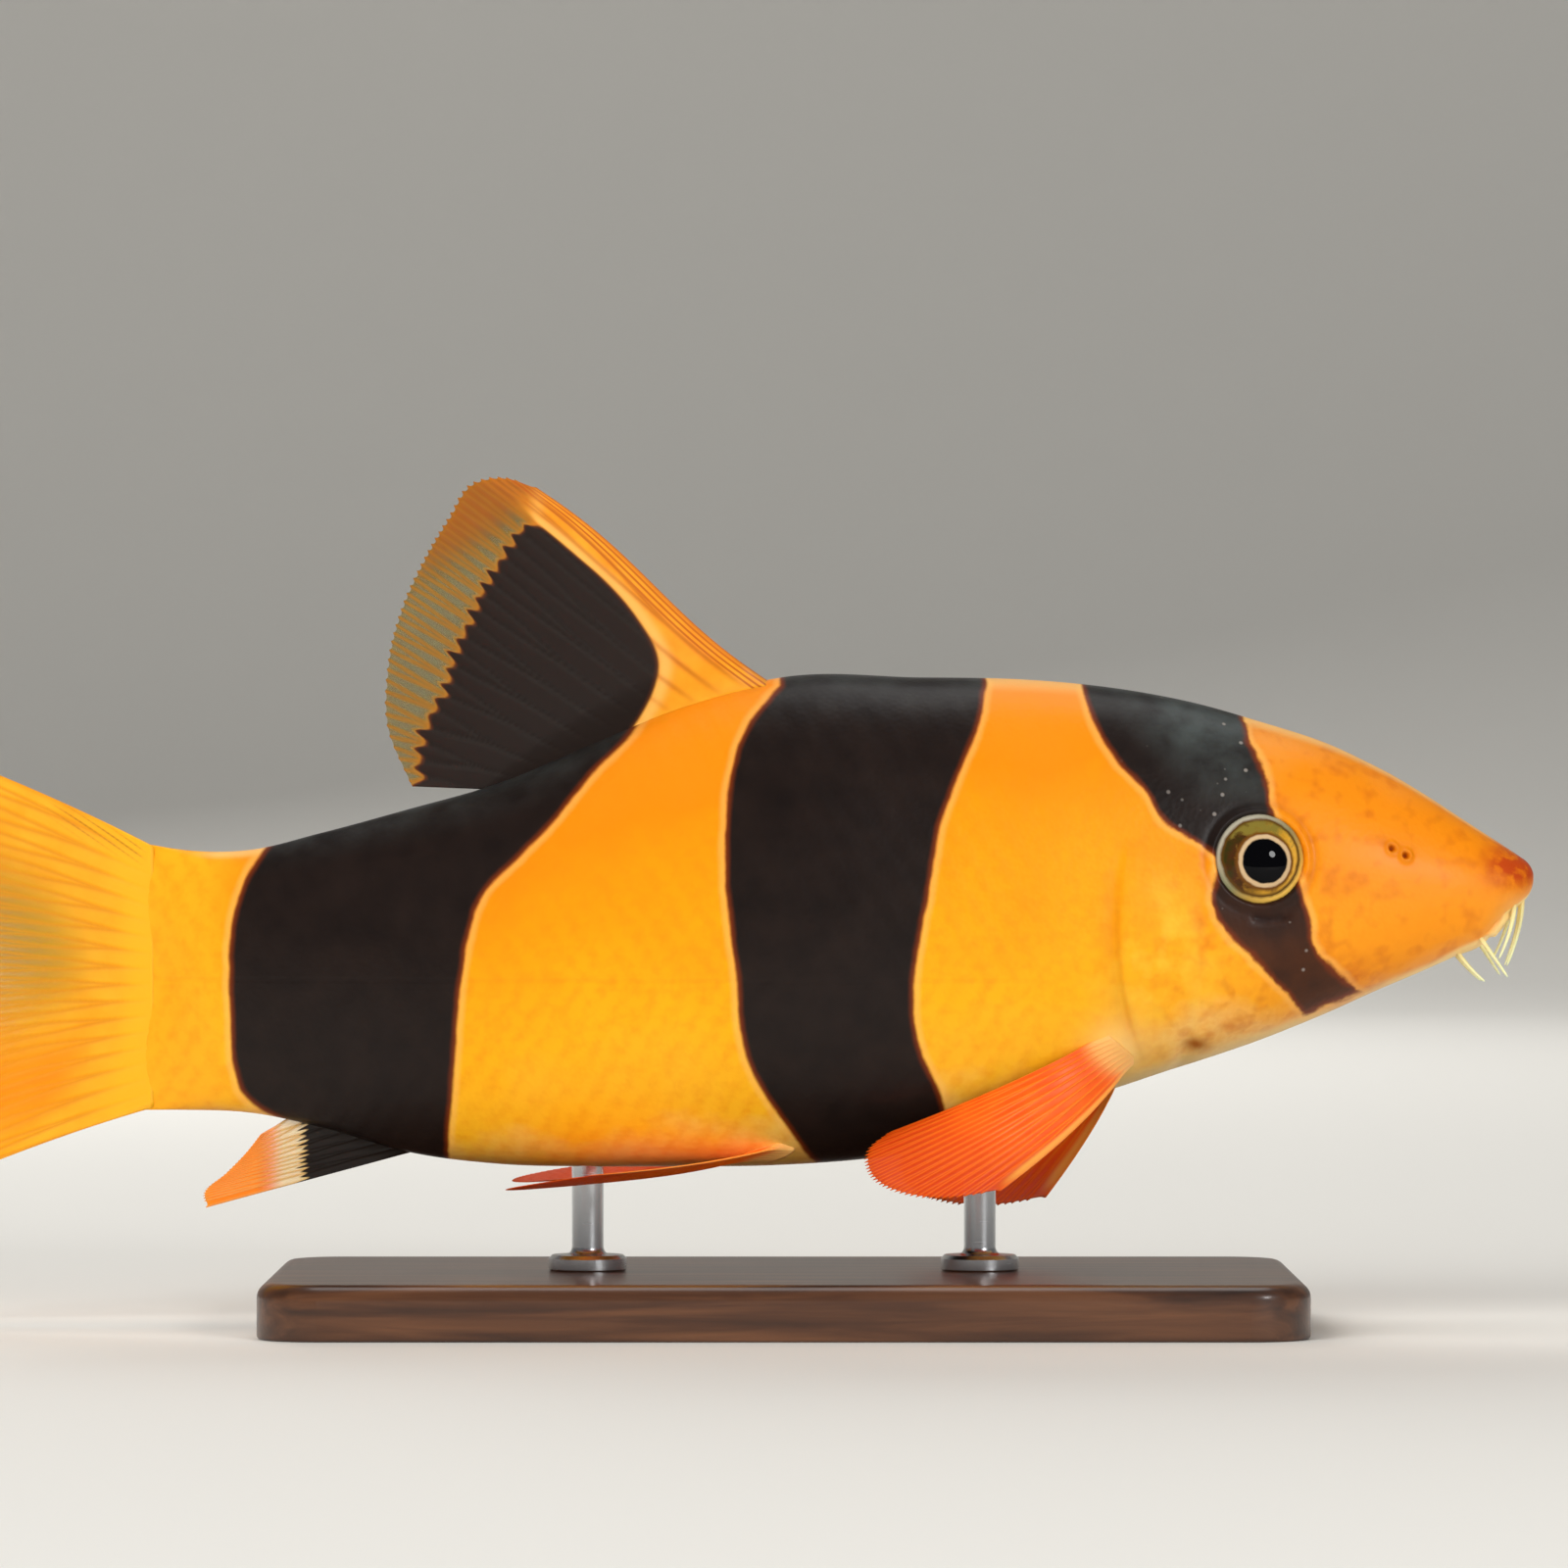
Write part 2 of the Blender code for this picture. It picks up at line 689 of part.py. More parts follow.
def make_base():
    bm = bmesh.new()
    middle = SNOUT_X - sum(ROD_PLACES.values()) / len(ROD_PLACES)
    size = Vector((BASE_LENGTH, BASE_WIDTH, BASE_THICKNESS)) * MM
    lift = Vector((middle, 0, BASE_THICKNESS / 2)) * MM
    bmesh.ops.create_cube(bm, size=1, matrix=Matrix.Translation(lift) @ Matrix.Diagonal((*size, 1)))
    upright = [e for e in bm.edges if abs(e.verts[0].co.z - e.verts[1].co.z) > MM]
    bmesh.ops.bevel(
        bm, geom=upright, offset=BASE_CORNER * MM, affect="EDGES", segments=5, profile=0.5
    )
    top = [e for e in bm.edges if min(v.co.z for v in e.verts) > (BASE_THICKNESS - 0.1) * MM]
    bmesh.ops.bevel(
        bm, geom=top, offset=BASE_TOP_EDGE * MM, affect="EDGES", segments=2, profile=0.5
    )
    paint(add_object("stand_base", bm, smooth_angle=30), DARK_WOOD)


def make_rods():
    """Each rod stands on a round foot, and its top is cut to the belly's curve."""
    floor = (BASE_THICKNESS + GAP) * MM
    for name, behind in ROD_PLACES.items():
        bm = bmesh.new()
        centre = place(behind, 0, 0)
        centre.z = floor
        made = bmesh.ops.create_circle(
            bm,
            cap_ends=True,
            segments=ROD_SIDES,
            radius=ROD_FOOT_RADIUS * MM,
            matrix=Matrix.Translation(centre),
        )
        face = made["verts"][0].link_faces[0]
        foot = bmesh.ops.extrude_face_region(bm, geom=[face], use_keep_orig=True)
        raised = [part for part in foot["geom"] if isinstance(part, bmesh.types.BMVert)]
        bmesh.ops.translate(bm, verts=raised, vec=(0, 0, ROD_FOOT_HEIGHT * MM))
        top = [part for part in foot["geom"] if isinstance(part, bmesh.types.BMFace)]
        bmesh.ops.inset_region(bm, faces=top, thickness=(ROD_FOOT_RADIUS - ROD_RADIUS) * MM)
        shaft = bmesh.ops.extrude_face_region(bm, geom=top)
        for part in shaft["geom"]:
            if isinstance(part, bmesh.types.BMVert):
                at = SNOUT_X - part.co.x / MM
                part.co.z = place(at, 0, under_side(at, part.co.y / MM) - GAP).z
        bmesh.ops.delete(bm, geom=[f for f in top if f.is_valid], context="FACES_ONLY")
        paint(add_object(name, bm, smooth_angle=30), STEEL, roughness=0.3, metallic=1.0)


def main():
    for obj in list(bpy.data.objects):
        bpy.data.objects.remove(obj)
    head = make_head()
    make_body()
    make_eyes()
    make_barbels(head)
    make_dorsal_fin()
    make_anal_fin()
    make_tail_fin()
    make_paired_fins()
    make_base()
    make_rods()


main()
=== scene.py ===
# %% [markdown]
# # A clown loach on its display stand
# This notebook dresses a life-size model of a clown loach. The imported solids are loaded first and
# stay where they are, as the frame that every finer piece is made around. Sizes on the fish are
# written in millimetres and turned to metres at the last moment.

# %% Load the solids
import functools
import math

import bmesh
import bpy
import numpy as np
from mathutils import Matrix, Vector
from mathutils.bvhtree import BVHTree


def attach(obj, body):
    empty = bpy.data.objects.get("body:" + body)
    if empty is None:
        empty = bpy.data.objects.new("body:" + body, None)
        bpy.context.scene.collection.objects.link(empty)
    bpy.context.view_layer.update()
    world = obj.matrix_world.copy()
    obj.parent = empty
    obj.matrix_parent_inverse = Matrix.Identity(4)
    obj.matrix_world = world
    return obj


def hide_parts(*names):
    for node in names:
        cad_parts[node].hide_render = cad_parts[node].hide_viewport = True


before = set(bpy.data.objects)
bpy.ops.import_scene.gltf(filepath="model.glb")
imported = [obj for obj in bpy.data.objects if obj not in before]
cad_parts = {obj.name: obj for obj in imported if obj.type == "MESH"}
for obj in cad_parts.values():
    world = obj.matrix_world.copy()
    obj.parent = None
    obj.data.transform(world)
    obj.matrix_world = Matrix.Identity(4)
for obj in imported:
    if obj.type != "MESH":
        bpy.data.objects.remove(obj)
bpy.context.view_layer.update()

MM = 0.001
MERGE_DISTANCE = 0.0002 * MM
SIDES = {"right": -1, "left": 1}

# %% [markdown]
# ## The camera
# The photograph looks straight at the right flank from the height of the fish. Its frame spans
# 128 mm at the fish, which leaves the rear of the tail fin outside. A long portrait lens from
# 0.7 m away keeps the near flank inside its outline in the photograph.

# %% Camera
FRAME_WIDTH = 128.0
LENS = 200.0
SENSOR = 36.0
FRAME_MIDDLE = Vector((10.32, 0, 44.2))

camera = bpy.data.objects.new("camera", bpy.data.cameras.new("camera"))
camera.data.lens = LENS
camera.data.sensor_width = SENSOR
camera.data.clip_start = 0.01
distance = FRAME_WIDTH * LENS / SENSOR
camera.location = (FRAME_MIDDLE - Vector((0, distance, 0))) * MM
camera.rotation_euler = (math.radians(90), 0, 0)
bpy.context.scene.collection.objects.link(camera)
bpy.context.scene.camera = camera
print("camera", round(distance), "mm from the fish")

# %% [markdown]
# ## Helpers
# Each finish below is a tree of shader nodes. A colour is written as the sRGB hex value that a
# paint program would show, and turned into the linear value that the shader reads. Most nodes get
# their inputs in the sockets' own order: a MapRange takes a value, the range it is read in and
# the range it is turned to. A Mix of colours has its share at 0 and its colours at 6 and 7.


# %% Colours, nodes and objects
def linear(hex_colour):
    """An sRGB hex colour as the linear colour that a shader reads."""
    channels = [int(hex_colour[i : i + 2], 16) / 255 for i in (1, 3, 5)]
    curve = [c / 12.92 if c <= 0.04045 else ((c + 0.055) / 1.055) ** 2.4 for c in channels]
    return (*curve, 1.0)


def add_node(tree, kind, inputs=(), stops=(), **settings):
    """inputs is a dict by socket, or a tuple from the first socket on. Each is a number, a colour,
    a node, or a node with its output's name. stops are the places and colours of a ramp."""
    node = tree.nodes.new("ShaderNode" + kind)
    for name, value in settings.items():
        setattr(node, name, value)
    for socket, value in inputs.items() if isinstance(inputs, dict) else enumerate(inputs):
        if isinstance(value, bpy.types.Node):
            value = (value, next(out.name for out in value.outputs if out.enabled))
        if isinstance(value, tuple) and isinstance(value[0], bpy.types.Node):
            found = [out for out in value[0].outputs if out.enabled and out.name == value[1]]
            tree.links.new(found[0], node.inputs[socket])
        else:
            node.inputs[socket].default_value = value
    for _ in stops[2:]:
        node.color_ramp.elements.new(1.0)
    for (position, hex_colour), element in zip(stops, node.color_ramp.elements if stops else ()):
        element.position = position
        element.color = linear(hex_colour)
    return node


def new_material(name, masks=()):
    """An empty material, the function that adds a node to it, and the masks of its mesh."""
    material = bpy.data.materials.new(name)
    material.use_nodes = True
    material.node_tree.nodes.clear()
    add = functools.partial(add_node, material.node_tree)
    return material, add, {m: (add("Attribute", attribute_name=m), "Fac") for m in masks}


def finish(material, add, pieces, look):
    """Closes a material with the shader that has this look, and gives it to the pieces."""
    add("OutputMaterial", (add("BsdfPrincipled", look),))
    for piece in pieces:
        piece.data.materials.append(material)


def new_object(name, mesh):
    mesh.shade_smooth()
    obj = bpy.data.objects.new(name, mesh)
    bpy.context.scene.collection.objects.link(obj)
    return obj


# %% [markdown]
# ## The room
# The model stands on a roll of pale paper that curves up behind it, so that no horizon shows. The
# paper is a grid of points: those past the bend are lifted along a quarter circle. It isn't part
# of the model.

# %% Paper sweep
SWEEP_WIDTH = 4.4
SWEEP_LENGTH = 4.4
SWEEP_FRONT = -1.8
SWEEP_BEND = 1.0
SWEEP_RADIUS = 0.5

bm = bmesh.new()
bmesh.ops.create_grid(bm, x_segments=1, y_segments=60, size=0.5)
for vert in bm.verts:
    along = SWEEP_FRONT + (vert.co.y + 0.5) * SWEEP_LENGTH
    turn = min(max((along - SWEEP_BEND) / SWEEP_RADIUS, 0), math.pi / 2)
    past = max(along - SWEEP_BEND - SWEEP_RADIUS * math.pi / 2, 0)
    back = min(along, SWEEP_BEND) + SWEEP_RADIUS * math.sin(turn)
    rise = SWEEP_RADIUS * (1 - math.cos(turn)) + past
    vert.co = (vert.co.x * SWEEP_WIDTH, back, rise)
mesh = bpy.data.meshes.new("paper_sweep")
bm.to_mesh(mesh)
bm.free()
sweep = new_object("paper_sweep", mesh)
material, add, _ = new_material("matt_paper")
grain = add("TexNoise", {"Scale": 400.0, "Detail": 3.0})
bump = add("Bump", {"Height": grain, "Strength": 0.05, "Distance": 0.0002})
finish(material, add, [sweep], {"Base Color": linear("#E8E5DE"), "Roughness": 0.9, "Normal": bump})
print("paper sweep of", len(mesh.polygons), "strips")

# %% [markdown]
# ## The lights
# Varnished pieces are photographed with crossed polarisers, which keep the glare of the big
# lamps out of the lens, so that colours stay full. Three large soft boxes do the same here: they
# light the colour, and no glossy ray sees them. A box over the back draws the long highlight, and
# a very small one beside the camera is the glint in the pupil.

# %% Lights
SOFT_BOXES = {
    "key": ((-0.6, -0.8, 0.55), 0.7, 7.9),
    "fill": ((0.6, -0.85, 0.06), 0.8, 4.9),
    "top": ((0.1, 0.1, 0.95), 0.6, 2.2),
    "back": ((-0.35, 0.85, 0.5), 0.7, 6.5),
    "glint": ((0.41, -0.58, 0.27), 0.13, 1.2),
}
POLARISED = ("key", "fill", "back")
aim = FRAME_MIDDLE * MM
for name, (where, size, power) in SOFT_BOXES.items():
    lamp = bpy.data.lights.new(name, "AREA")
    lamp.shape = "DISK"
    lamp.size = size
    lamp.energy = power
    light = bpy.data.objects.new(name, lamp)
    light.location = where
    light.rotation_euler = (aim - Vector(where)).to_track_quat("-Z", "Y").to_euler()
    light.visible_camera = False
    light.visible_glossy = name not in POLARISED
    bpy.context.scene.collection.objects.link(light)
world = bpy.data.worlds.new("room")
bpy.context.scene.world = world
world.use_nodes = True
world.node_tree.nodes["Background"].inputs["Color"].default_value = linear("#E8E9EA")
world.node_tree.nodes["Background"].inputs["Strength"].default_value = 0.16
bpy.context.scene.view_settings.view_transform = "Standard"
print(len(SOFT_BOXES), "soft boxes")

# %% [markdown]
# ## The shape of the body
# A fish's body is a row of cross-sections. Each row of this table is one: how far it is behind
# the snout, the height of its back and belly, half its width, and how far up it is widest. A
# smooth curve joins the rows, over the square root of the distance, which rounds the snout.

# %% Sizes of the body
TOTAL_LENGTH = 143.0
TAIL_BASE = 113.2
BELLY_ABOVE_FLOOR = 13.0
BODY_STATIONS = (
    (0.0, 23.6, 23.6, 0.0, 0.50), (0.5, 24.8, 22.0, 1.6, 0.45),
    (1.3, 25.4, 21.2, 2.4, 0.42), (2.5, 26.2, 20.2, 3.1, 0.40),
    (4.2, 27.3, 18.1, 3.8, 0.40), (6.5, 28.8, 17.1, 4.5, 0.39),
    (9.2, 30.6, 15.9, 5.2, 0.38), (13.2, 33.2, 14.2, 6.1, 0.38),
    (17.2, 34.7, 12.4, 6.8, 0.39), (22.0, 36.2, 10.5, 7.3, 0.40),
    (28.0, 37.9, 8.4, 7.9, 0.41), (34.0, 39.0, 6.5, 8.6, 0.41),
    (41.0, 39.7, 3.9, 9.3, 0.41), (50.0, 39.9, 1.3, 9.8, 0.42),
    (62.0, 39.8, 0.1, 9.9, 0.42), (70.0, 37.5, 0.0, 9.3, 0.43),
    (77.2, 34.4, 0.0, 8.3, 0.44), (84.4, 31.3, 0.2, 7.0, 0.46),
    (92.0, 29.1, 1.2, 5.5, 0.48), (99.0, 27.2, 3.2, 4.2, 0.50),
    (105.0, 25.8, 4.4, 3.2, 0.50), (110.0, 25.8, 4.6, 2.5, 0.50),
    (TAIL_BASE, 26.3, 4.6, 2.0, 0.50),
)
BACK_SQUARENESS = 2.05
BELLY_SQUARENESS = 2.35
GILL_EDGE = 31.4
GILL_BOW = 2.6
GILL_MIDDLE_HEIGHT = 20.0
GILL_HALF_HEIGHT = 12.0
GILL_FADE = 16.0
GILL_FLAP_RISE = 0.28
GILL_FLAP_LENGTH = 4.0
TAIL_TAPER_START = 108.2
TAIL_TAPER = 7.2
TAIL_RAY_PITCH = 1.25
TAIL_MIDDLE = 15.6


# %% Curves and places
class Curve:
    """A smooth curve through a table's rows, looked up by its first column, for whole arrays."""

    def __init__(self, rows, stretch=np.asarray):
        table = np.array(rows, float)
        self.stretch = stretch
        self.knots = stretch(table[:, 0])
        self.values = table[:, 1:]
        self.slopes = np.gradient(self.values, self.knots, axis=0)

    def at(self, x):
        x = np.clip(self.stretch(np.asarray(x, float)), self.knots[0], self.knots[-1])
        i = np.clip(np.searchsorted(self.knots, x, side="right") - 1, 0, len(self.knots) - 2)
        step = (self.knots[i + 1] - self.knots[i])[..., None]
        t = (x - self.knots[i])[..., None] / step
        near = (1 + 2 * t) * (1 - t) ** 2 * self.values[i]
        far = t * t * (3 - 2 * t) * self.values[i + 1]
        leave = step * t * (1 - t) ** 2 * self.slopes[i]
        arrive = step * t * t * (t - 1) * self.slopes[i + 1]
        return np.moveaxis(near + far + leave + arrive, -1, 0)


BODY = Curve(BODY_STATIONS, stretch=lambda x: np.sqrt(np.maximum(x, 0)))


def place(behind, side, height):
    """Places on the fish as points of the frame, in millimetres."""
    behind, side, height = np.broadcast_arrays(behind, side, height)
    x = TOTAL_LENGTH / 2 - behind
    return np.stack([x, side, BELLY_ABOVE_FLOOR + height], axis=-1).astype(float)


def placed(points):
    """How far points are behind the snout, and their height over the belly line."""
    return TOTAL_LENGTH / 2 - points[:, 0], points[:, 2] - BELLY_ABOVE_FLOOR


def ramp(x):
    """0 below 0, 1 above 1, and a smooth rise between."""
    x = np.clip(x, 0, 1)
    return x * x * (3 - 2 * x)


def ridge(distance, width):
    """1 at no distance, and a soft fall to nothing past the width."""
    return np.exp(-((distance / width) ** 2))


def spot(behind, height, middle, stretch, width):
    """A soft round form about a place of the flank, as it looks from the side."""
    away = ((behind - middle[0]) * stretch[0], (height - middle[1]) * stretch[1])
    return ridge(np.hypot(*away), width)


def unit(vectors):
    return vectors / np.maximum(np.linalg.norm(vectors, axis=-1, keepdims=True), 1e-9)


print("body of", len(BODY_STATIONS), "stations; widest", 2 * BODY.at(60.0)[2].round(1), "mm")


# %% The bare skin
def section(behind):
    back, belly, half_width, share = BODY.at(behind)
    return back, belly, half_width, belly + share * (back - belly)


def skin_at(behind, angle):
    """Side and height of the skin: angle 0 is the back, and a quarter turn the left flank."""
    back, belly, half_width, middle = section(behind)
    up = np.cos(angle)
    out = np.sin(angle)
    power = np.where(up > 0, 2 / BACK_SQUARENESS, 2 / BELLY_SQUARENESS)
    reach = np.where(up > 0, back - middle, belly - middle)
    side = half_width * np.sign(out) * np.abs(out) ** power
    return side, middle + reach * np.abs(up) ** power


def bowed(station, height):
    """How far back a ring lies at a height: rings near the gill opening bow with it."""
    bow = GILL_BOW * (1 - ((height - GILL_MIDDLE_HEIGHT) / GILL_HALF_HEIGHT) ** 2)
    return station + bow * ramp(1 - np.abs(station - GILL_EDGE) / GILL_FADE)


def bare_skin(station, angle):
    """Points of the skin with no detail. Past the tail's base it thins out over the rays."""
    _, height = skin_at(station, angle)
    behind = bowed(station, height)
    side, height = skin_at(behind, angle)
    over = (station - TAIL_TAPER_START) / TAIL_TAPER
    pull = ramp(over) * ridge(height - TAIL_MIDDLE, 6.0)
    return place(behind - pull, side * (1 - ramp(over)), height)


def flank(behind, height):
    """Half the body's width at a height."""
    back, belly, half_width, middle = section(behind)
    above = height > middle
    power = np.where(above, BACK_SQUARENESS, BELLY_SQUARENESS)
    reach = np.where(above, back - middle, middle - belly)
    share = np.clip(np.abs(height - middle) / reach, 0, 1)
    return half_width * (1 - share**power) ** (1 / power)


def flank_point(behind, height, hand):
    """A point of the skin and the way it faces. hand is 1 on the left and -1 on the right."""
    step = 0.1
    here = place(behind, hand * flank(behind, height), height)
    back = place(behind + step, hand * flank(behind + step, height), height)
    above = place(behind, hand * flank(behind, height + step), height + step)
    facing = unit(np.cross(back - here, above - here))
    return here, facing * np.sign(facing[..., 1:2] * hand)


# %% [markdown]
# ## The relief of the skin
# A loach has only soft forms under a smooth skin: the cheek, the gill cover with its crease, a
# raised rim round the eye, fleshy lips, nostrils, and the slit of the spine below the eye. Each
# is a small rise or fall along the way the skin faces, written as a function of the distance to
# the form, so they can overlap without a cut. Each also paints a mask for the shader: `hollow`
# for painted shade in creases and pits, `pale` for pale skin and a painted highlight along the
# back, and `blush` for the red-brown places.

# %% Sizes of the head's forms
EYE_BEHIND = 22.7
EYE_HEIGHT = 25.2
EYE_RADIUS = 4.1
EYE_HALF_DEPTH = 2.4
EYE_SUNK = 1.4
EYE_OPENING = 3.58
EYE_RIM = 3.92
NOSTRILS = ((10.8, 25.4, 0.2), (11.9, 26.0, 0.08))
NOSTRIL_RADIUS = 0.26
MOUTH_PLACE = (3.6, 0.0, 19.0)
MOUTH_FACING = np.array((0.80, 0.0, -0.60))
MOUTH_DOWN = np.array((-0.60, 0.0, -0.80))
MOUTH_TURN = math.radians(105)
UPPER_LIP_RADIUS = 2.25
MOUTH_LINE_RADIUS = 1.75
LOWER_LIP_RADIUS = 1.25
LIP_THICKNESS = 0.52
SPINE_SLIT = Curve(((20.0, 20.7), (21.6, 20.3), (23.4, 20.4)))


# %% Relief functions
def near_eye(points, hand):
    """Each point's distance from the eye's axis, or a large number on the other side."""
    here, facing = flank_point(EYE_BEHIND, EYE_HEIGHT, hand)
    away = points - here
    across = np.linalg.norm(away - (away @ facing)[..., None] * facing, axis=-1)
    return np.where(np.linalg.norm(away, axis=-1) < 9, across, 99.0)


def eye_relief(points, hand):
    away = near_eye(points, hand)
    opening = ramp((EYE_OPENING + 0.12 - away) / 0.3)
    rim = ridge(away - EYE_RIM, 0.26)
    trough = ridge(away - EYE_RIM - 0.62, 0.3)
    rise = 0.14 * rim - 0.06 * trough - 0.9 * opening
    return rise, 0.25 * trough + opening


def nostril_relief(points, hand):
    rise = np.zeros(len(points))
    hollow = np.zeros(len(points))
    for behind, height, collar in NOSTRILS:
        here, _ = flank_point(behind, height, hand)
        away = np.linalg.norm(points - here, axis=-1)
        pit = ramp((NOSTRIL_RADIUS + 0.1 - away) / 0.25)
        rise += collar * ridge(away - NOSTRIL_RADIUS - 0.16, 0.18) - 0.4 * pit
        hollow += 0.8 * pit + 0.2 * ridge(away, 0.9)
    return rise, hollow


def lip(radius, centre):
    """The rise of a fleshy lip that runs along an arch."""
    return np.sqrt(np.maximum(LIP_THICKNESS**2 - (radius - centre) ** 2, 0)) * 0.8


def mouth_relief(points, facing):
    away = points - place(*MOUTH_PLACE)
    turn = np.arctan2(away[:, 1], -(away @ MOUTH_DOWN))
    radius = np.hypot(away[:, 1], away @ MOUTH_DOWN)
    window = ramp((MOUTH_TURN - np.abs(turn)) / 0.35) * ramp(facing @ MOUTH_FACING / 0.35)
    pleats = 1 + 0.07 * np.cos(34 * turn)
    lips = (lip(radius, UPPER_LIP_RADIUS) + lip(radius, LOWER_LIP_RADIUS)) * pleats
    line = ridge(radius - MOUTH_LINE_RADIUS, 0.15)
    return (lips - 0.3 * line) * window, line * window, ramp(lips * 3) * window


def gill_relief(station, height):
    """The cheek's rear edge stands over the shoulder, and a crease lies just behind it."""
    window = ramp((27 - height) / 7) * ramp((height - 7.5) / 6)
    past = station - GILL_EDGE
    flap = GILL_FLAP_RISE * ramp(1 + past / GILL_FLAP_LENGTH) * (1 - ramp(past / 0.6))
    crease = ridge(past - 0.7, 0.6)
    shade = ridge(past - 0.4, np.where(past > 0.4, 1.5, 0.5))
    return (flap - 0.1 * crease) * window, shade * window


def cheek_relief(behind, height):
    """The muscle of the cheek, the plate of the gill cover and the hollow between them."""
    muscle = 0.3 * spot(behind, height, (24.5, 15.5), (1, 0.9), 4.2)
    plate = 0.22 * spot(behind, height, (30, 19), (1.3, 1), 4.6)
    groove = 0.16 * ridge(behind - 27.2 - 0.02 * (height - 18) ** 2, 0.7) * ramp((24 - height) / 5)
    brow = 0.15 * spot(behind, height, (21.5, 30.6), (1, 1.6), 4.0)
    return muscle + plate - groove + brow


def slit_relief(behind, height):
    away = height - SPINE_SLIT.at(behind)[0]
    window = ramp((behind - 19.8) / 0.6) * ramp((23.6 - behind) / 0.6)
    return -0.22 * ridge(away, 0.22) * window, ridge(away, 0.25) * window


# %% [markdown]
# ## The markings
# A clown loach is orange with three black-brown bands, each with its own crooked outline. Every
# edge is a curve of its distance behind the snout at each height. From those curves each point of
# the skin gets one number, how many millimetres it lies inside a band. The shader turns that into
# a crisp edge of any softness, and into the thin pale line that follows each band.

# %% Outlines of the bands: height, front edge, rear edge
HEAD_BAND = (
    (4.0, 11.4, 16.4), (12.6, 13.2, 18.9), (14.0, 14.2, 20.2), (15.5, 16.1, 21.6),
    (17.2, 17.8, 23.2), (19.2, 18.6, 25.2), (21.8, 19.2, 26.5), (25.7, 20.4, 26.6),
    (28.2, 21.6, 30.4), (30.2, 22.0, 31.6), (31.6, 22.2, 32.8), (33.0, 22.7, 34.1),
    (34.6, 23.4, 35.2), (36.5, 23.8, 36.1), (38.9, 24.6, 36.8),
)
MIDDLE_BAND = (
    (-0.4, 51.0, 57.6), (1.2, 49.4, 59.2), (4.0, 48.2, 61.2), (6.4, 48.7, 62.8),
    (8.8, 49.9, 64.0), (11.2, 50.6, 64.6), (15.2, 50.8, 64.9), (19.2, 50.2, 65.4),
    (23.2, 49.5, 65.8), (28.0, 48.6, 65.8), (32.8, 46.8, 65.2), (36.0, 45.5, 64.0),
    (39.2, 44.8, 61.4),
)
REAR_BAND = (
    (0.0, 88.6, 95.0), (2.6, 88.5, 99.4), (4.4, 88.3, 103.2), (5.8, 88.2, 104.9),
    (8.0, 88.0, 105.8), (12.0, 87.7, 106.1), (15.2, 87.4, 106.2), (18.8, 86.8, 106.1),
    (22.8, 85.2, 105.2), (25.4, 82.6, 103.8), (27.6, 80.4, 102.0), (31.6, 77.2, 100.0),
    (36.0, 73.2, 100.0), (40.0, 71.4, 100.0),
)
THROAT_LINE = 0.9


# %% How far inside a band
def inside_band(rows, behind, height):
    """Millimetres inside a band, and negative outside it."""
    curve = Curve(rows)
    front, rear = curve.at(height)
    step = 0.25
    front_slope, rear_slope = (curve.at(height + step) - curve.at(height - step)) / (2 * step)
    from_front = (behind - front) / np.hypot(1, front_slope)
    from_rear = (rear - behind) / np.hypot(1, rear_slope)
    return np.minimum(from_front, from_rear)


def band_depth(behind, height):
    """The head's band stops short of the pale throat; the others run round the belly."""
    bands = [inside_band(rows, behind, height) for rows in (HEAD_BAND, MIDDLE_BAND, REAR_BAND)]
    bands[0] = np.minimum(bands[0], (height - section(behind)[1] - THROAT_LINE) * 0.8)
    return np.clip(np.max(bands, axis=0), -3, 3)


print("three bands, of", [len(rows) for rows in (HEAD_BAND, MIDDLE_BAND, REAR_BAND)], "rows")

# %% [markdown]
# ## The skin
# The skin is one flat grid that is rolled round the body: across it runs round the fish, and along
# it from the snout to the tail. Its rows crowd where the form is fine, and its cells round the
# eyes, nostrils and mouth are divided once more. Only then is each point sent to its place. One
# closed skin replaces the solids of the head, trunk and tail stalk, so no seam shows.

# %% Rows of the skin, from the snout to past the tail's base
SKIN_COLUMNS = 224
snout = [3.0 * (i / 14) ** 1.6 for i in range(14)]
head = np.arange(3.0, GILL_EDGE - 0.9, 0.26)
gill = np.arange(GILL_EDGE - 0.8, GILL_EDGE + 0.001, 0.16)
crease = GILL_EDGE + np.array((0.1, 0.2, 0.32, 0.45, 0.6, 0.8, 1.05, 1.35))
trunk = np.arange(GILL_EDGE + 1.7, TAIL_BASE, 0.52)
end = np.linspace(TAIL_BASE, TAIL_TAPER_START + TAIL_TAPER, 7)
ROWS = np.concatenate([snout, head, gill, crease, trunk, end])
print(len(ROWS), "rows of", SKIN_COLUMNS, "cells")


# %% Lay out the flat grid
def rolled(x, y):
    """The station and the angle that a place of the flat grid goes to."""
    return np.interp(y + 0.5, np.linspace(0, 1, len(ROWS)), ROWS), 2 * math.pi * (x + 0.5)


def in_fine_part(x, y, _):
    """Which places of the flat grid will be near an eye, a nostril or the mouth."""
    points = bare_skin(*rolled(x, y))
    found = np.linalg.norm(points - place(*MOUTH_PLACE), axis=-1) < 3.9
    for hand in SIDES.values():
        found |= near_eye(points, hand) < 4.9
        for behind, height, _ in NOSTRILS:
            nostril, _ = flank_point(behind, height, hand)
            found |= np.linalg.norm(points - nostril, axis=-1) < 1.5
    return found


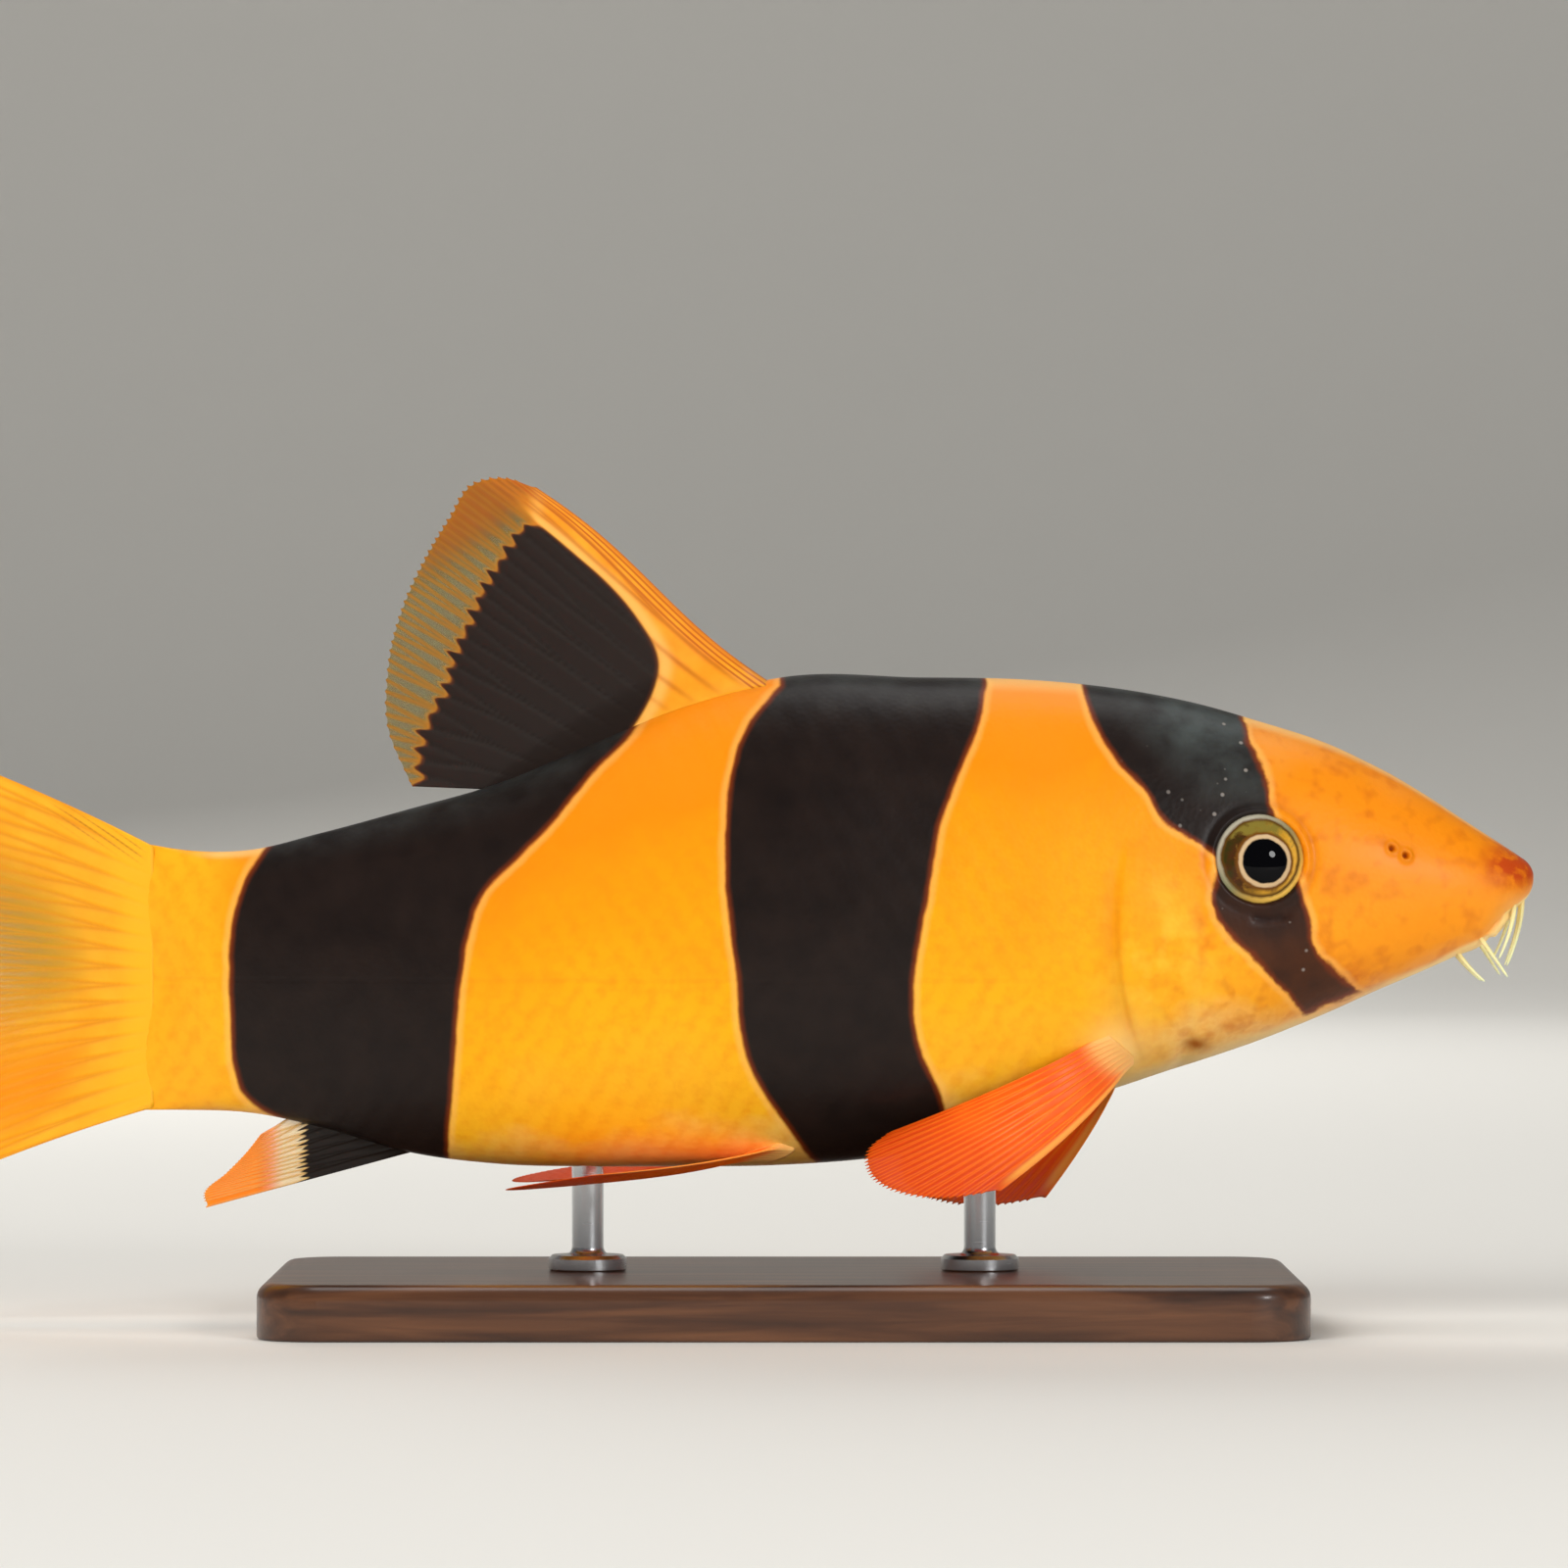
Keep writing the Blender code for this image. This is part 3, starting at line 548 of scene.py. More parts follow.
bm = bmesh.new()
bmesh.ops.create_grid(bm, x_segments=SKIN_COLUMNS, y_segments=len(ROWS) - 1, size=0.5)
centres = np.array([face.calc_center_median() for face in bm.faces])
fine = [face for face, found in zip(bm.faces, in_fine_part(*centres.T)) if found]
edges = list({edge for face in fine for edge in face.edges})
bmesh.ops.subdivide_edges(bm, edges=edges, cuts=1, use_grid_fill=True)
print(len(fine), "cells divided;", len(bm.verts), "points")


# %% Send a flat mesh to its place
def shaped(name, bm, shape, nodes):
    """Makes a piece of a flat bmesh. shape takes its points and gives places and masks. The piece
    shows in place of the solids named in nodes."""
    mesh = bpy.data.meshes.new(name)
    bm.to_mesh(mesh)
    flat = np.empty(len(mesh.vertices) * 3)
    mesh.vertices.foreach_get("co", flat)
    points, masks = shape(*flat.reshape(-1, 3).T)
    mesh.vertices.foreach_set("co", (points * MM).ravel())
    for mask, values in masks.items():
        layer = mesh.attributes.new(mask, "FLOAT", "POINT")
        layer.data.foreach_set("value", np.asarray(values, np.float32))
    bm.free()
    bm = bmesh.new()
    bm.from_mesh(mesh)
    bmesh.ops.remove_doubles(bm, verts=bm.verts, dist=MERGE_DISTANCE)
    bmesh.ops.recalc_face_normals(bm, faces=bm.faces)
    if bm.calc_volume(signed=True) < 0:
        bmesh.ops.reverse_faces(bm, faces=bm.faces)
    open_edges = sum(len(edge.link_faces) != 2 for edge in bm.edges)
    bm.to_mesh(mesh)
    bm.free()
    obj = new_object(name, mesh)
    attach(obj, "root")
    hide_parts(*nodes)
    print(name, len(mesh.polygons), "faces,", open_edges, "open edges")
    return obj


def spun(outline, steps):
    """An outline of radii and heights, turned once round the upright axis."""
    bm = bmesh.new()
    points = [bm.verts.new((radius, 0, height)) for radius, height in outline]
    for first, second in zip(points, points[1:]):
        bm.edges.new((first, second))
    whole = {"axis": (0, 0, 1), "cent": (0, 0, 0), "angle": 2 * math.pi, "use_merge": True}
    bmesh.ops.spin(bm, geom=bm.verts[:] + bm.edges[:], steps=steps, **whole)
    return bm


# %% Shape the skin
def skin_facing(station, angle):
    along = bare_skin(station + 0.05, angle) - bare_skin(np.maximum(station - 0.05, 0), angle)
    around = bare_skin(station, angle + 0.004) - bare_skin(station, angle - 0.004)
    return unit(np.cross(around, along))


def skin_shape(x, y, _):
    station, angle = rolled(x, y)
    points = bare_skin(station, angle)
    facing = skin_facing(np.clip(station, 0.02, TAIL_BASE), angle)
    behind, height = placed(points)
    back, belly, _, _ = section(behind)
    share = (height - belly) / np.maximum(back - belly, 0.1)

    gill, gill_shade = gill_relief(station, height)
    slit, slit_shade = slit_relief(behind, height)
    mouth, mouth_shade, lips = mouth_relief(points, facing)
    on_flank = ramp(np.abs(points[:, 1]) / 1.5)
    forehead = 0.35 * ridge(behind - 13.2, 2.8) * ramp((share - 0.6) / 0.4)
    rise = (cheek_relief(behind, height) + gill) * on_flank + slit + mouth - forehead
    # hollow is painted shade for the shader: the gill crease, the spine slit, the mouth line and a
    # spot at the throat, and in the loop below the troughs round the eyes and the nostril pits.
    throat_shade = spot(behind, height, (27.8, 10.1), (1, 1.8), 1.0) * on_flank
    hollow = 0.26 * gill_shade * on_flank + 0.8 * slit_shade + mouth_shade + throat_shade
    root = spot(behind, height, (34, 9.4), (1, 1), 2.4) * on_flank
    rise += 0.35 * root
    around_mouth = ridge(np.linalg.norm(points - place(1.6, 0, 20.4), axis=-1), 2.6)
    pale = 0.5 * lips + 0.6 * around_mouth * ramp((23.2 - height) / 1.5) + 0.75 * root
    for hand in SIDES.values():
        eye, eye_shade = eye_relief(points, hand)
        nostril, nostril_shade = nostril_relief(points, hand)
        rise += eye + nostril
        hollow += eye_shade + nostril_shade
    points = points + facing * (rise * ramp(station / 0.5))[:, None]

    snout_tip = ramp((5.6 - behind) / 3.6) * ridge(height - 24.6, 1.7)
    band_foot = ridge(height - 14.6, 2.4) * ridge(behind - 15.8, 3.0)
    under_eye = ridge(np.hypot(behind - 23.5, height - 25.2) - 4.1, 0.5) * ramp((24 - height) / 2)
    ray_lines = 0.5 - 0.5 * np.cos(2 * math.pi * (height - TAIL_MIDDLE) / TAIL_RAY_PITCH)
    blush = snout_tip + 0.45 * band_foot + 0.3 * under_eye
    blush += 0.1 * ray_lines * ramp((station - TAIL_BASE + 1) / 4)
    throat = ramp((0.05 + 0.05 * ramp((9 - behind) / 5) - share) / 0.04)
    # Painted highlight: a pale line along the top of the back, left out under the dorsal fin and past
    # the tail's base.
    back_highlight = ramp((share - 0.965) / 0.03) * ramp(np.abs(behind - 74) / 3 - 4)
    back_highlight *= ramp((110 - behind) / 3)
    pale += 0.85 * throat * ramp((38 - behind) / 6) + 0.5 * back_highlight
    masks = {
        "band": band_depth(behind, height),
        "share": share,
        "behind": behind,
        "height": height,
        # where the painted highlights of the gill cover lie
        "cheek": 0.8 * spot(behind, height, (31, 16.8), (1, 0.85), 4.2),
        "stalk": ramp((behind - 103) / 7),
        "hollow": np.clip(hollow, 0, 1),
        "pale": np.clip(pale, 0, 1),
        "blush": np.clip(blush, 0, 1),
    }
    return points, masks


skin = shaped("skin", bm, skin_shape, ["head", "trunk", "tail_stalk"])

# %% [markdown]
# ### What the skin looks like
# Loach skin shines softly like satin, as tiny scales lie buried in it. On a museum cast this is
# thin paint under a satin varnish. The shader starts with the ground colour, from pale gold on
# the belly to orange on the back, lays the masks over it one by one, and ends with the bands.
# Bump adds what is finer than the mesh: the buried scales and the arrowheads of the muscles.

# %% Colours of the skin
FLANK_COLOURS = (
    (0.00, "#FFC65C"), (0.10, "#FFB820"), (0.32, "#FFB208"), (0.55, "#FFA004"),
    (0.80, "#FA8A02"), (1.00, "#F78C0E"),
)
HEAD_COLOURS = (
    (0.00, "#FFCC78"), (0.14, "#FFAE1C"), (0.36, "#FFA814"), (0.55, "#F69408"),
    (0.85, "#EE8C08"), (1.00, "#EC9638"),
)
SCALE_SIZE = 0.45
MUSCLE_PITCH = 2.2
MUSCLE_LEAN = 0.62
LATERAL_LINE_HEIGHT = 15.3
PORE_PITCH = 1.9
# Clouds of noise: their size in mm and their detail, the range they are read in and turned to.
CLOUDS = {
    "mottle": (9.0, 4.0, 0.3, 0.7, -0.09, 0.09),
    "shade": (0.9, 4.0, 0.4, 0.75, 0.0, 0.4),
    "glint": (3.2, 3.0, 0.45, 0.62, 0.0, 1.0),
    "fleck": (1.5, 1.5, 0.52, 0.8, 0.0, 0.6),
    "broken": (1.1, 4.0, 0.36, 0.56, 0.5, 1.4),
    "jitter": (2.2, 4.0, 0.0, 1.0, -0.5, 0.5),
    "sheen": (3.0, 5.0, 0.35, 0.65, 0.3, 1.35),
}

# %% Ground colour
SKIN_MASKS = ("band", "share", "behind", "height", "cheek", "stalk", "hollow", "pale", "blush")
material, add, masks = new_material("satin_varnished_skin", SKIN_MASKS)
where = (add("TexCoord"), "Object")
noise = {}
cloud = {}
for name, (size, detail, *ranges) in CLOUDS.items():
    noise[name] = add("TexNoise", {"Vector": where, "Scale": 1 / (size * MM), "Detail": detail})
    cloud[name] = add("MapRange", (noise[name], *ranges))
share = add("Math", (masks["share"], cloud["mottle"]), operation="ADD")
is_head = add("MapRange", (masks["behind"], 36.0, 26.0), interpolation_type="SMOOTHSTEP")
is_snout = add("MapRange", (masks["behind"], 30.0, 8.0, 0.0, 0.7), interpolation_type="SMOOTHSTEP")
is_trunk = add("MapRange", (masks["behind"], 37.0, 44.0))
flank_colour = add("ValToRGB", (share,), FLANK_COLOURS)
head_colour = add("ValToRGB", (share,), HEAD_COLOURS)
colour = add("Mix", {0: is_head, 6: flank_colour, 7: head_colour}, data_type="RGBA")
print("ground colour from", len(FLANK_COLOURS) + len(HEAD_COLOURS), "tones")

# %% Muscles and lateral line
above = add("Math", (masks["height"], LATERAL_LINE_HEIGHT), operation="SUBTRACT")
above = add("Math", (above,), operation="ABSOLUTE")
line = add("MapRange", (above, 0.3, 0.1))
arrow = add("Math", (above, -MUSCLE_LEAN, masks["behind"]), operation="MULTIPLY_ADD")
arrow = add("Math", (arrow, 2 * math.pi / MUSCLE_PITCH), operation="MULTIPLY")
arrow = add("Math", (arrow,), operation="SINE")
line, arrow = [add("Math", (form, is_trunk), operation="MULTIPLY") for form in (line, arrow)]
shade = add("Math", (arrow, 0.09, cloud["shade"]), operation="MULTIPLY_ADD")
shade = add("Math", (line, 0.16, shade), operation="MULTIPLY_ADD", use_clamp=True)

# %% Painted highlights on the gill cover and along the back, freckles, pale skin, blushes
# Painted highlights: pale yellow glints laid on the gill cover where the cheek mask is.
glint = add("Math", (cloud["glint"], masks["cheek"]), operation="MULTIPLY")
fleck = add("Math", (cloud["fleck"], is_head), operation="MULTIPLY")
blush = add("Math", (masks["blush"], cloud["broken"]), operation="MULTIPLY", use_clamp=True)
for mask, hex_colour in (
    (is_snout, "#EE8604"),
    (masks["stalk"], "#FFAE18"),
    (shade, "#EE8C08"),
    (fleck, "#CC6206"),
    (glint, "#FFCC3C"),
    # the pale mask holds pale skin and the painted highlight along the back
    (masks["pale"], "#FFD98E"),
    (blush, "#BE440A"),
):
    colour = add("Mix", {0: mask, 6: colour, 7: linear(hex_colour)}, data_type="RGBA")

# %% Bands, with their pale line and a painted grey sheen
ragged = add("MapRange", (is_head, 0.0, 1.0, 0.35, 1.1))
depth = add("Math", (cloud["jitter"], ragged, masks["band"]), operation="MULTIPLY_ADD")
halo, rust, dark = [
    add("MapRange", (depth, start, end, 0.0, most), interpolation_type="SMOOTHSTEP")
    for start, end, most in ((-0.85, -0.35, 0.36), (-0.3, 0.06, 1.0), (-0.14, 0.5, 1.0))
]
# Painted sheen: the tops of the bands, and more of the head's band, are greyed with blue as if they
# caught the light from above.
sheen = add("Math", (is_head, 0.22, masks["share"]), operation="MULTIPLY_ADD")
sheen = add("MapRange", (sheen, 0.88, 1.14, 0.0, 0.5), interpolation_type="SMOOTHSTEP")
sheen = add("Math", (sheen, cloud["sheen"]), operation="MULTIPLY")
foot = add("MapRange", (masks["height"], 24.0, 17.0))
for mask in (is_head, noise["sheen"]):
    foot = add("Math", (foot, mask), operation="MULTIPLY")
black = linear("#0E0807")
for mask, hex_colour in ((noise["sheen"], "#261A15"), (sheen, "#4E5654"), (foot, "#5A2C0C")):
    black = add("Mix", {0: mask, 6: black, 7: linear(hex_colour)}, data_type="RGBA")
for mask, layer in ((halo, linear("#FFC468")), (rust, linear("#7A2F06")), (dark, black)):
    colour = add("Mix", {0: mask, 6: colour, 7: layer}, data_type="RGBA")
# Painted shade: the hollow mask darkens the creases, pits, the mouth line and a spot at the throat.
shaded = {0: masks["hollow"], 6: colour, 7: linear("#A87848")}
colour = add("Mix", shaded, data_type="RGBA", blend_type="MULTIPLY")

# %% Pores: a few pale specks on the head's dark band
cells = add("TexVoronoi", {"Vector": where, "Scale": 1 / (PORE_PITCH * MM)}, feature="F1")
specks = add("MapRange", ((cells, "Distance"), 0.11, 0.055, 0.0, 0.45))
for mask in (is_head, dark):
    specks = add("Math", (specks, mask), operation="MULTIPLY")
colour = add("Mix", {0: specks, 6: colour, 7: linear("#B9AFA6")}, data_type="RGBA")

# %% Relief finer than the mesh, and the finish of the skin
buried = {"Vector": where, "Scale": 1 / (SCALE_SIZE * MM), "Smoothness": 0.4}
scales = add("TexVoronoi", buried, feature="SMOOTH_F1")
bump = None
for height, strength, deep in (
    ((scales, "Distance"), 0.35, 0.05),
    (arrow, 0.18, 0.05),
    (line, 0.3, -0.05),
    (noise["mottle"], 0.3, 0.3),
):
    inputs = {"Height": height, "Strength": strength, "Distance": deep * MM}
    if bump:
        inputs["Normal"] = bump
    bump = add("Bump", inputs)
look = {
    "Base Color": colour,
    "Roughness": add("MapRange", (noise["mottle"], 0.3, 0.7, 0.4, 0.5)),
    "IOR": 1.4,
    "Specular IOR Level": 0.3,
    "Subsurface Weight": 0.12,
    "Subsurface Radius": (1.0, 0.45, 0.15),
    "Subsurface Scale": 0.8 * MM,
    "Coat Weight": 0.08,
    "Coat Roughness": 0.24,
    "Normal": bump,
}
finish(material, add, [skin], look)
print("skin shader of", len(material.node_tree.nodes), "nodes")

# %% [markdown]
# ## The eyes
# The eye is a flat bead: a black pupil with a bright ring, a mottled iris, and a pale outer ring.
# Its outline is turned round the eye's own axis, so that the pupil stands up as a lens and the
# iris lies in a shallow dish. Each point carries its distance from the axis for the colours.

# %% Turn the eyes
PUPIL = 1.8
PUPIL_AHEAD = 0.26
PUPIL_BELOW = 0.31
BRIGHT_RING = 2.16
IRIS = 3.4
EYE_STEPS = 60
EYE_BACK = ((3.6, -2.6), (2.2, -3.3), (0.0, -3.6))


def eye_height(x, y):
    """Height of the eye's face over the skin. x runs ahead and y up, from its middle."""
    radius = np.hypot(x, y)
    from_pupil = np.hypot(x - PUPIL_AHEAD, y + PUPIL_BELOW)
    ball = -EYE_SUNK + EYE_HALF_DEPTH * np.sqrt(np.maximum(1 - (radius / EYE_RADIUS) ** 2, 0))
    lens = 0.1 * np.sqrt(np.maximum(1 - (from_pupil / PUPIL) ** 2, 0))
    return ball + lens - 0.1 * ridge(from_pupil - 2.65, 0.35)


def turn_eye(side, hand):
    here, facing = flank_point(EYE_BEHIND, EYE_HEIGHT, hand)
    out = Vector(facing)
    ahead = Vector((1, 0, 0))
    ahead = (ahead - out * ahead.dot(out)).normalized()
    upward = out.cross(ahead) * (1 if out.cross(ahead).z > 0 else -1)

    def shape(x, y, z):
        z = np.where(z < -1, z, eye_height(x, y))
        points = here + np.outer(x, ahead) + np.outer(y, upward) + np.outer(z, out)
        from_pupil = np.hypot(x - PUPIL_AHEAD, y + PUPIL_BELOW)
        return points, {"radius": np.hypot(x, y), "from_pupil": from_pupil, "ahead": x, "up": y}

    face = [(EYE_RADIUS * 0.985 * i / EYE_STEPS, 0) for i in range(EYE_STEPS + 1)]
    outline = spun([*face, *EYE_BACK], 144)
    return shaped(f"eye_ball_{side}", outline, shape, [f"eye_{side}"])


eyes = [turn_eye(side, hand) for side, hand in SIDES.items()]

# %% Finish of the eye: painted glass with a clear coat
material, add, masks = new_material("painted_glass_eye", ("radius", "from_pupil", "ahead", "up"))
where = (add("TexCoord"), "Object")
fleck = add("TexNoise", {"Vector": where, "Scale": 1 / (0.8 * MM), "Detail": 5.0})
wave = add("MapRange", (fleck, 0.3, 0.7, -1.3, 1.3))
ahead, up = [add("Math", (masks[m], wave), operation="ADD") for m in ("ahead", "up")]
across_rim = add("Math", (masks["ahead"], masks["up"]), operation="SUBTRACT")
colour = add(
    "ValToRGB",
    (add("MapRange", (ahead, -IRIS, IRIS)),),
    ((0.0, "#34300F"), (0.25, "#4A2812"), (0.45, "#8A6420"), (0.7, "#C8942C"), (1.0, "#E0A840")),
)
rim = add(
    "ValToRGB",
    (add("MapRange", (across_rim, -4.0, 5.0)),),
    ((0.0, "#B4AC96"), (0.45, "#8E8A62"), (0.7, "#C09A48"), (1.0, "#ECBC54")),
)
wobble = add("MapRange", (fleck, 0.0, 1.0, -0.12, 0.12))
turns = {m: add("Math", (masks[m], wobble), operation="ADD") for m in ("radius", "from_pupil")}
for value, start, end, layer in (
    (up, 1.2, 2.4, linear("#7E6E2C")),
    (turns["radius"], IRIS - 0.5, IRIS - 0.3, linear("#5A3C14")),
    (turns["radius"], IRIS - 0.26, IRIS - 0.06, rim),
    (turns["radius"], IRIS + 0.14, IRIS + 0.3, linear("#2A1408")),
    (turns["from_pupil"], BRIGHT_RING + 0.34, BRIGHT_RING + 0.12, linear("#6E4418")),
    (turns["from_pupil"], BRIGHT_RING + 0.06, BRIGHT_RING - 0.08, linear("#CDAE84")),
    (turns["from_pupil"], PUPIL + 0.08, PUPIL - 0.04, linear("#040406")),
):
    ring = add("MapRange", (value, start, end))
    colour = add("Mix", {0: ring, 6: colour, 7: layer}, data_type="RGBA")
look = {
    "Base Color": colour,
    "Roughness": 0.35,
    "Specular IOR Level": 0.0,
    "Coat Weight": 0.25,
    "Coat Roughness": 0.03,
    "Coat IOR": 1.5,
}
finish(material, add, eyes, look)

# %% [markdown]
# ## The fins
# A fin is a fan of bony rays with a thin skin between them. Each ray forks twice on its way out.
# Every fin is a flat slab of cells that is sent to a curved surface: `across` counts from the
# leading ray to the last one, and `along` from the root to the tips. The rays are ridges on both
# faces of the slab, which keeps the fin one closed mesh.

# %% Rays of a fin
CELLS_PER_RAY = 16
MEMBRANE_HALF = 0.08
RAY_HALF = 0.15


def ray_crest(across, along, rays, forks):
    """1 on a ray's crest and 0 on the membrane. The leading ray stays whole."""
    from_ray = across * (rays - 1) - np.round(across * (rays - 1))
    whole = np.round(across * (rays - 1)) == 0
    first = np.where(whole, 0, 0.25 * ramp((along - forks[0]) / 0.4))
    second = np.where(whole, 0, 0.125 * ramp((along - forks[1]) / 0.4))
    away = np.abs(np.abs(np.abs(from_ray) - first) - second)
    width = 0.15 - 0.1 * along + np.where(whole, 0.1, 0)
    return ridge(away, width)


def make_fin(name, nodes, rays, surface, paint, root_half, rows, forks, root_share):
    """A closed fin on surface(across, along), with masks from paint(across, along, points).
    Half its thickness at the root is root_half(across), which fades out over root_share."""
    bm = bmesh.new()
    columns = CELLS_PER_RAY * (rays - 1)
    bmesh.ops.create_grid(bm, x_segments=columns, y_segments=rows, size=0.5)
    grown = bmesh.ops.extrude_face_region(bm, geom=bm.faces, use_keep_orig=True)
    outer = [part for part in grown["geom"] if isinstance(part, bmesh.types.BMVert)]
    bmesh.ops.translate(bm, verts=outer, vec=(0, 0, 1))

    def shape(x, y, z):
        across = x + 0.5
        along = y + 0.5
        crest = ray_crest(across, along, rays, forks)
        notch = 0.012 * (1 - crest) * ramp((along - 0.8) / 0.2)
        reach = along * (1 - notch)
        points = surface(across, reach)
        step = 0.01
        over = surface(across + step, reach) - surface(across - step, reach)
        up = surface(across, reach + step) - surface(across, np.maximum(reach - step, 0))
        facing = unit(np.cross(over, up))
        half = (MEMBRANE_HALF + (RAY_HALF - MEMBRANE_HALF) * crest) * (1 - 0.5 * along)
        flesh = (1 - np.clip(along / root_share, 0, 1)) ** 2
        half += (root_half(across) - half) * flesh
        edge = np.minimum(np.minimum(across, 1 - across) * columns / 5, (1 - along) * rows / 3)
        half *= 0.3 + 0.7 * np.sqrt(np.clip(edge, 0, 1))
        masks = {"along": along, "crest": crest * (1 - flesh)}
        masks.update(paint(across, along, points))
        return points + facing * (half * np.where(z > 0.5, 1, -1))[:, None], masks

    return shaped(name, bm, shape, nodes)


def between(first, last, share):
    return first + (last - first) * share


def bend(start, knee, end, along):
    """Points on a smooth bend that leaves start towards knee."""
    along = along[..., None]
    return start * (1 - along) ** 2 + knee * 2 * along * (1 - along) + end * along * along


def smooth_min(a, b, width):
    """The smaller of two, with a rounded change from one to the other."""
    share = np.clip(0.5 + 0.5 * (b - a) / width, 0, 1)
    return b + (a - b) * share - width * share * (1 - share)


def teeth(across, rays, length):
    """A fringe of fine teeth, two to a ray: how far a colour runs out past its edge."""
    turn = 4 * math.pi * across * (rays - 1)
    uneven = 1 + 0.45 * np.sin(0.37 * turn + 1) + 0.25 * np.sin(0.81 * turn)
    return length * (2 * (0.5 + 0.5 * np.cos(turn)) ** 1.6 - 0.7) * uneven


# %% [markdown]
# ### The dorsal fin
# It stands on the back like a sail. Its front strip is orange, a large black patch fills the
# middle, and the rear margin is so thin that light comes through it. The patch ends in a fringe,
# because the dark colour follows each ray a little further than the skin between.

# %% Dorsal fin
DORSAL_FRONT = 62.0
DORSAL_REAR = 84.6
DORSAL_RAYS = 12
DORSAL_S_BEND = 0.5
DORSAL_TIPS = Curve(
    (
        (0.00, 81.4, 55.4), (0.09, 84.2, 56.3), (0.18, 86.8, 55.8), (0.30, 88.7, 53.0),
        (0.45, 90.7, 49.6), (0.60, 92.5, 45.6), (0.75, 93.6, 41.0), (0.88, 93.6, 35.8),
        (1.00, 91.6, 31.0),
    )
)
# Height, front edge and rear edge of the black patch.
DORSAL_PATCH = (
    (28.0, 78.5, 91.2), (31.0, 77.0, 91.0), (35.2, 73.9, 90.6), (37.2, 72.6, 89.8),
    (39.2, 71.7, 88.7), (41.0, 71.4, 88.3), (44.8, 73.2, 86.7), (48.0, 76.0, 85.2),
    (50.0, 78.3, 84.0), (51.6, 80.2, 82.9), (53.0, 82.0, 81.2),
)


def dorsal_surface(across, along):
    behind = between(DORSAL_FRONT, DORSAL_REAR, across)
    root = place(behind, 0, section(behind)[0] - 0.5)
    behind, height = DORSAL_TIPS.at(across)
    tip = place(behind, 0.8 * np.sin(math.pi * across) * along**2, height)
    points = between(root, tip, along[..., None])
    points[..., 2] -= DORSAL_S_BEND * (1 - across) ** 2 * np.sin(2 * math.pi * along)
    return points


def dorsal_paint(across, _, points):
    behind, height = placed(points)
    front, rear = Curve(DORSAL_PATCH).at(height)
    slope = 0.62
    rear_depth = (rear - behind) * slope + teeth(across, DORSAL_RAYS, 0.26)
    front_depth = (behind - front) * slope
    strip = np.where(across < 0.085, 0.5 + 0.5 * np.cos(2 * math.pi * across / 0.024), 0)
    tip = ramp((height - 44) / 10) * ramp((height - 49.5 + (behind - 84) * 0.9) / 6)
    margin = ramp((0.6 - rear_depth) / 1.2) * ramp((across - 0.1) / 0.1)
    return {
        "patch": np.clip(smooth_min(front_depth, rear_depth, 0.9), -2, 2),
        "margin": margin,
        "clear": margin * (1 - 0.85 * tip),
        "tip": tip,
        "rim": ridge(front_depth + 0.3, 0.55) * (1 - margin) * (1 - tip),
        "strip": strip,
    }


dorsal = make_fin(
    "dorsal_sail", ["dorsal_fin"], DORSAL_RAYS, dorsal_surface, dorsal_paint,
    lambda across: 2.2 - 1.4 * across, rows=72, forks=(0.28, 0.62), root_share=0.18,
)

# %% [markdown]
# ### The anal fin
# A small pointed fin under the tail stalk. It is black at its root, as if the rear band ran down
# into it, clear in the middle, and orange at its tip.

# %% Anal fin
ANAL_FRONT = 90.6
ANAL_REAR = 101.2
ANAL_RAYS = 8
ANAL_TIPS = Curve(
    (
        (0.00, 108.4, -3.4), (0.20, 108.6, -2.2), (0.50, 106.8, -0.6), (0.75, 105.2, 1.0),
        (1.00, 103.9, 2.6),
    )
)


def anal_surface(across, along):
    behind = between(ANAL_FRONT, ANAL_REAR, across)
    root = place(behind, 0, section(behind)[1] + 0.5)
    behind, height = ANAL_TIPS.at(across)
    tip = place(behind, 0.5 * np.sin(math.pi * along), height)
    return between(root, tip, along[..., None])


def anal_paint(across, _, points):
    behind, _ = placed(points)
    depth = 100.4 - behind + teeth(across, ANAL_RAYS, 0.35)
    clear = ramp((behind - 99.5) / 1.5) * ramp((104.6 - behind) / 2)
    return {"patch": np.clip(depth, -2, 2), "clear": clear, "tip": ramp((behind - 101.6) / 2)}


anal = make_fin(
    "anal_sail", ["anal_fin"], ANAL_RAYS, anal_surface, anal_paint,
    lambda across: 0.7 - 0.4 * across, rows=48, forks=(0.2, 0.5), root_share=0.25,
)

# %% [markdown]
# ### The tail fin
# Two long lobes with a deep fork between them, golden with darker ray lines. The solids part it
# into two lobes; here it is one fan, so that the skin runs on through the fork.

# %% Tail fin
TAIL_RAYS = 18
TAIL_BOW = 1.6
TAIL_SWAY = 1.2
TAIL_ROOTS = (26.1, 4.8)
TAIL_TIPS = Curve(
    (
        (0.000, 143.0, 38.2), (0.060, 141.4, 36.4), (0.150, 136.6, 30.8), (0.250, 132.4, 25.8),
        (0.375, 129.0, 20.4), (0.500, 127.5, 15.7), (0.625, 128.8, 10.7), (0.750, 132.2, 5.2),
        (0.850, 136.3, 0.2), (0.940, 141.0, -5.4), (1.000, 142.4, -7.2),
    )
)


def tail_surface(across, along):
    root = place(TAIL_BASE - 0.6, 0, between(*TAIL_ROOTS, across))
    behind, height = TAIL_TIPS.at(across)
    tip = place(behind, TAIL_SWAY, height)
    knee = between(root, tip, 0.45)
    knee[..., 2] += TAIL_BOW * np.abs(1 - 2 * across)
    return bend(root, knee, tip, along)


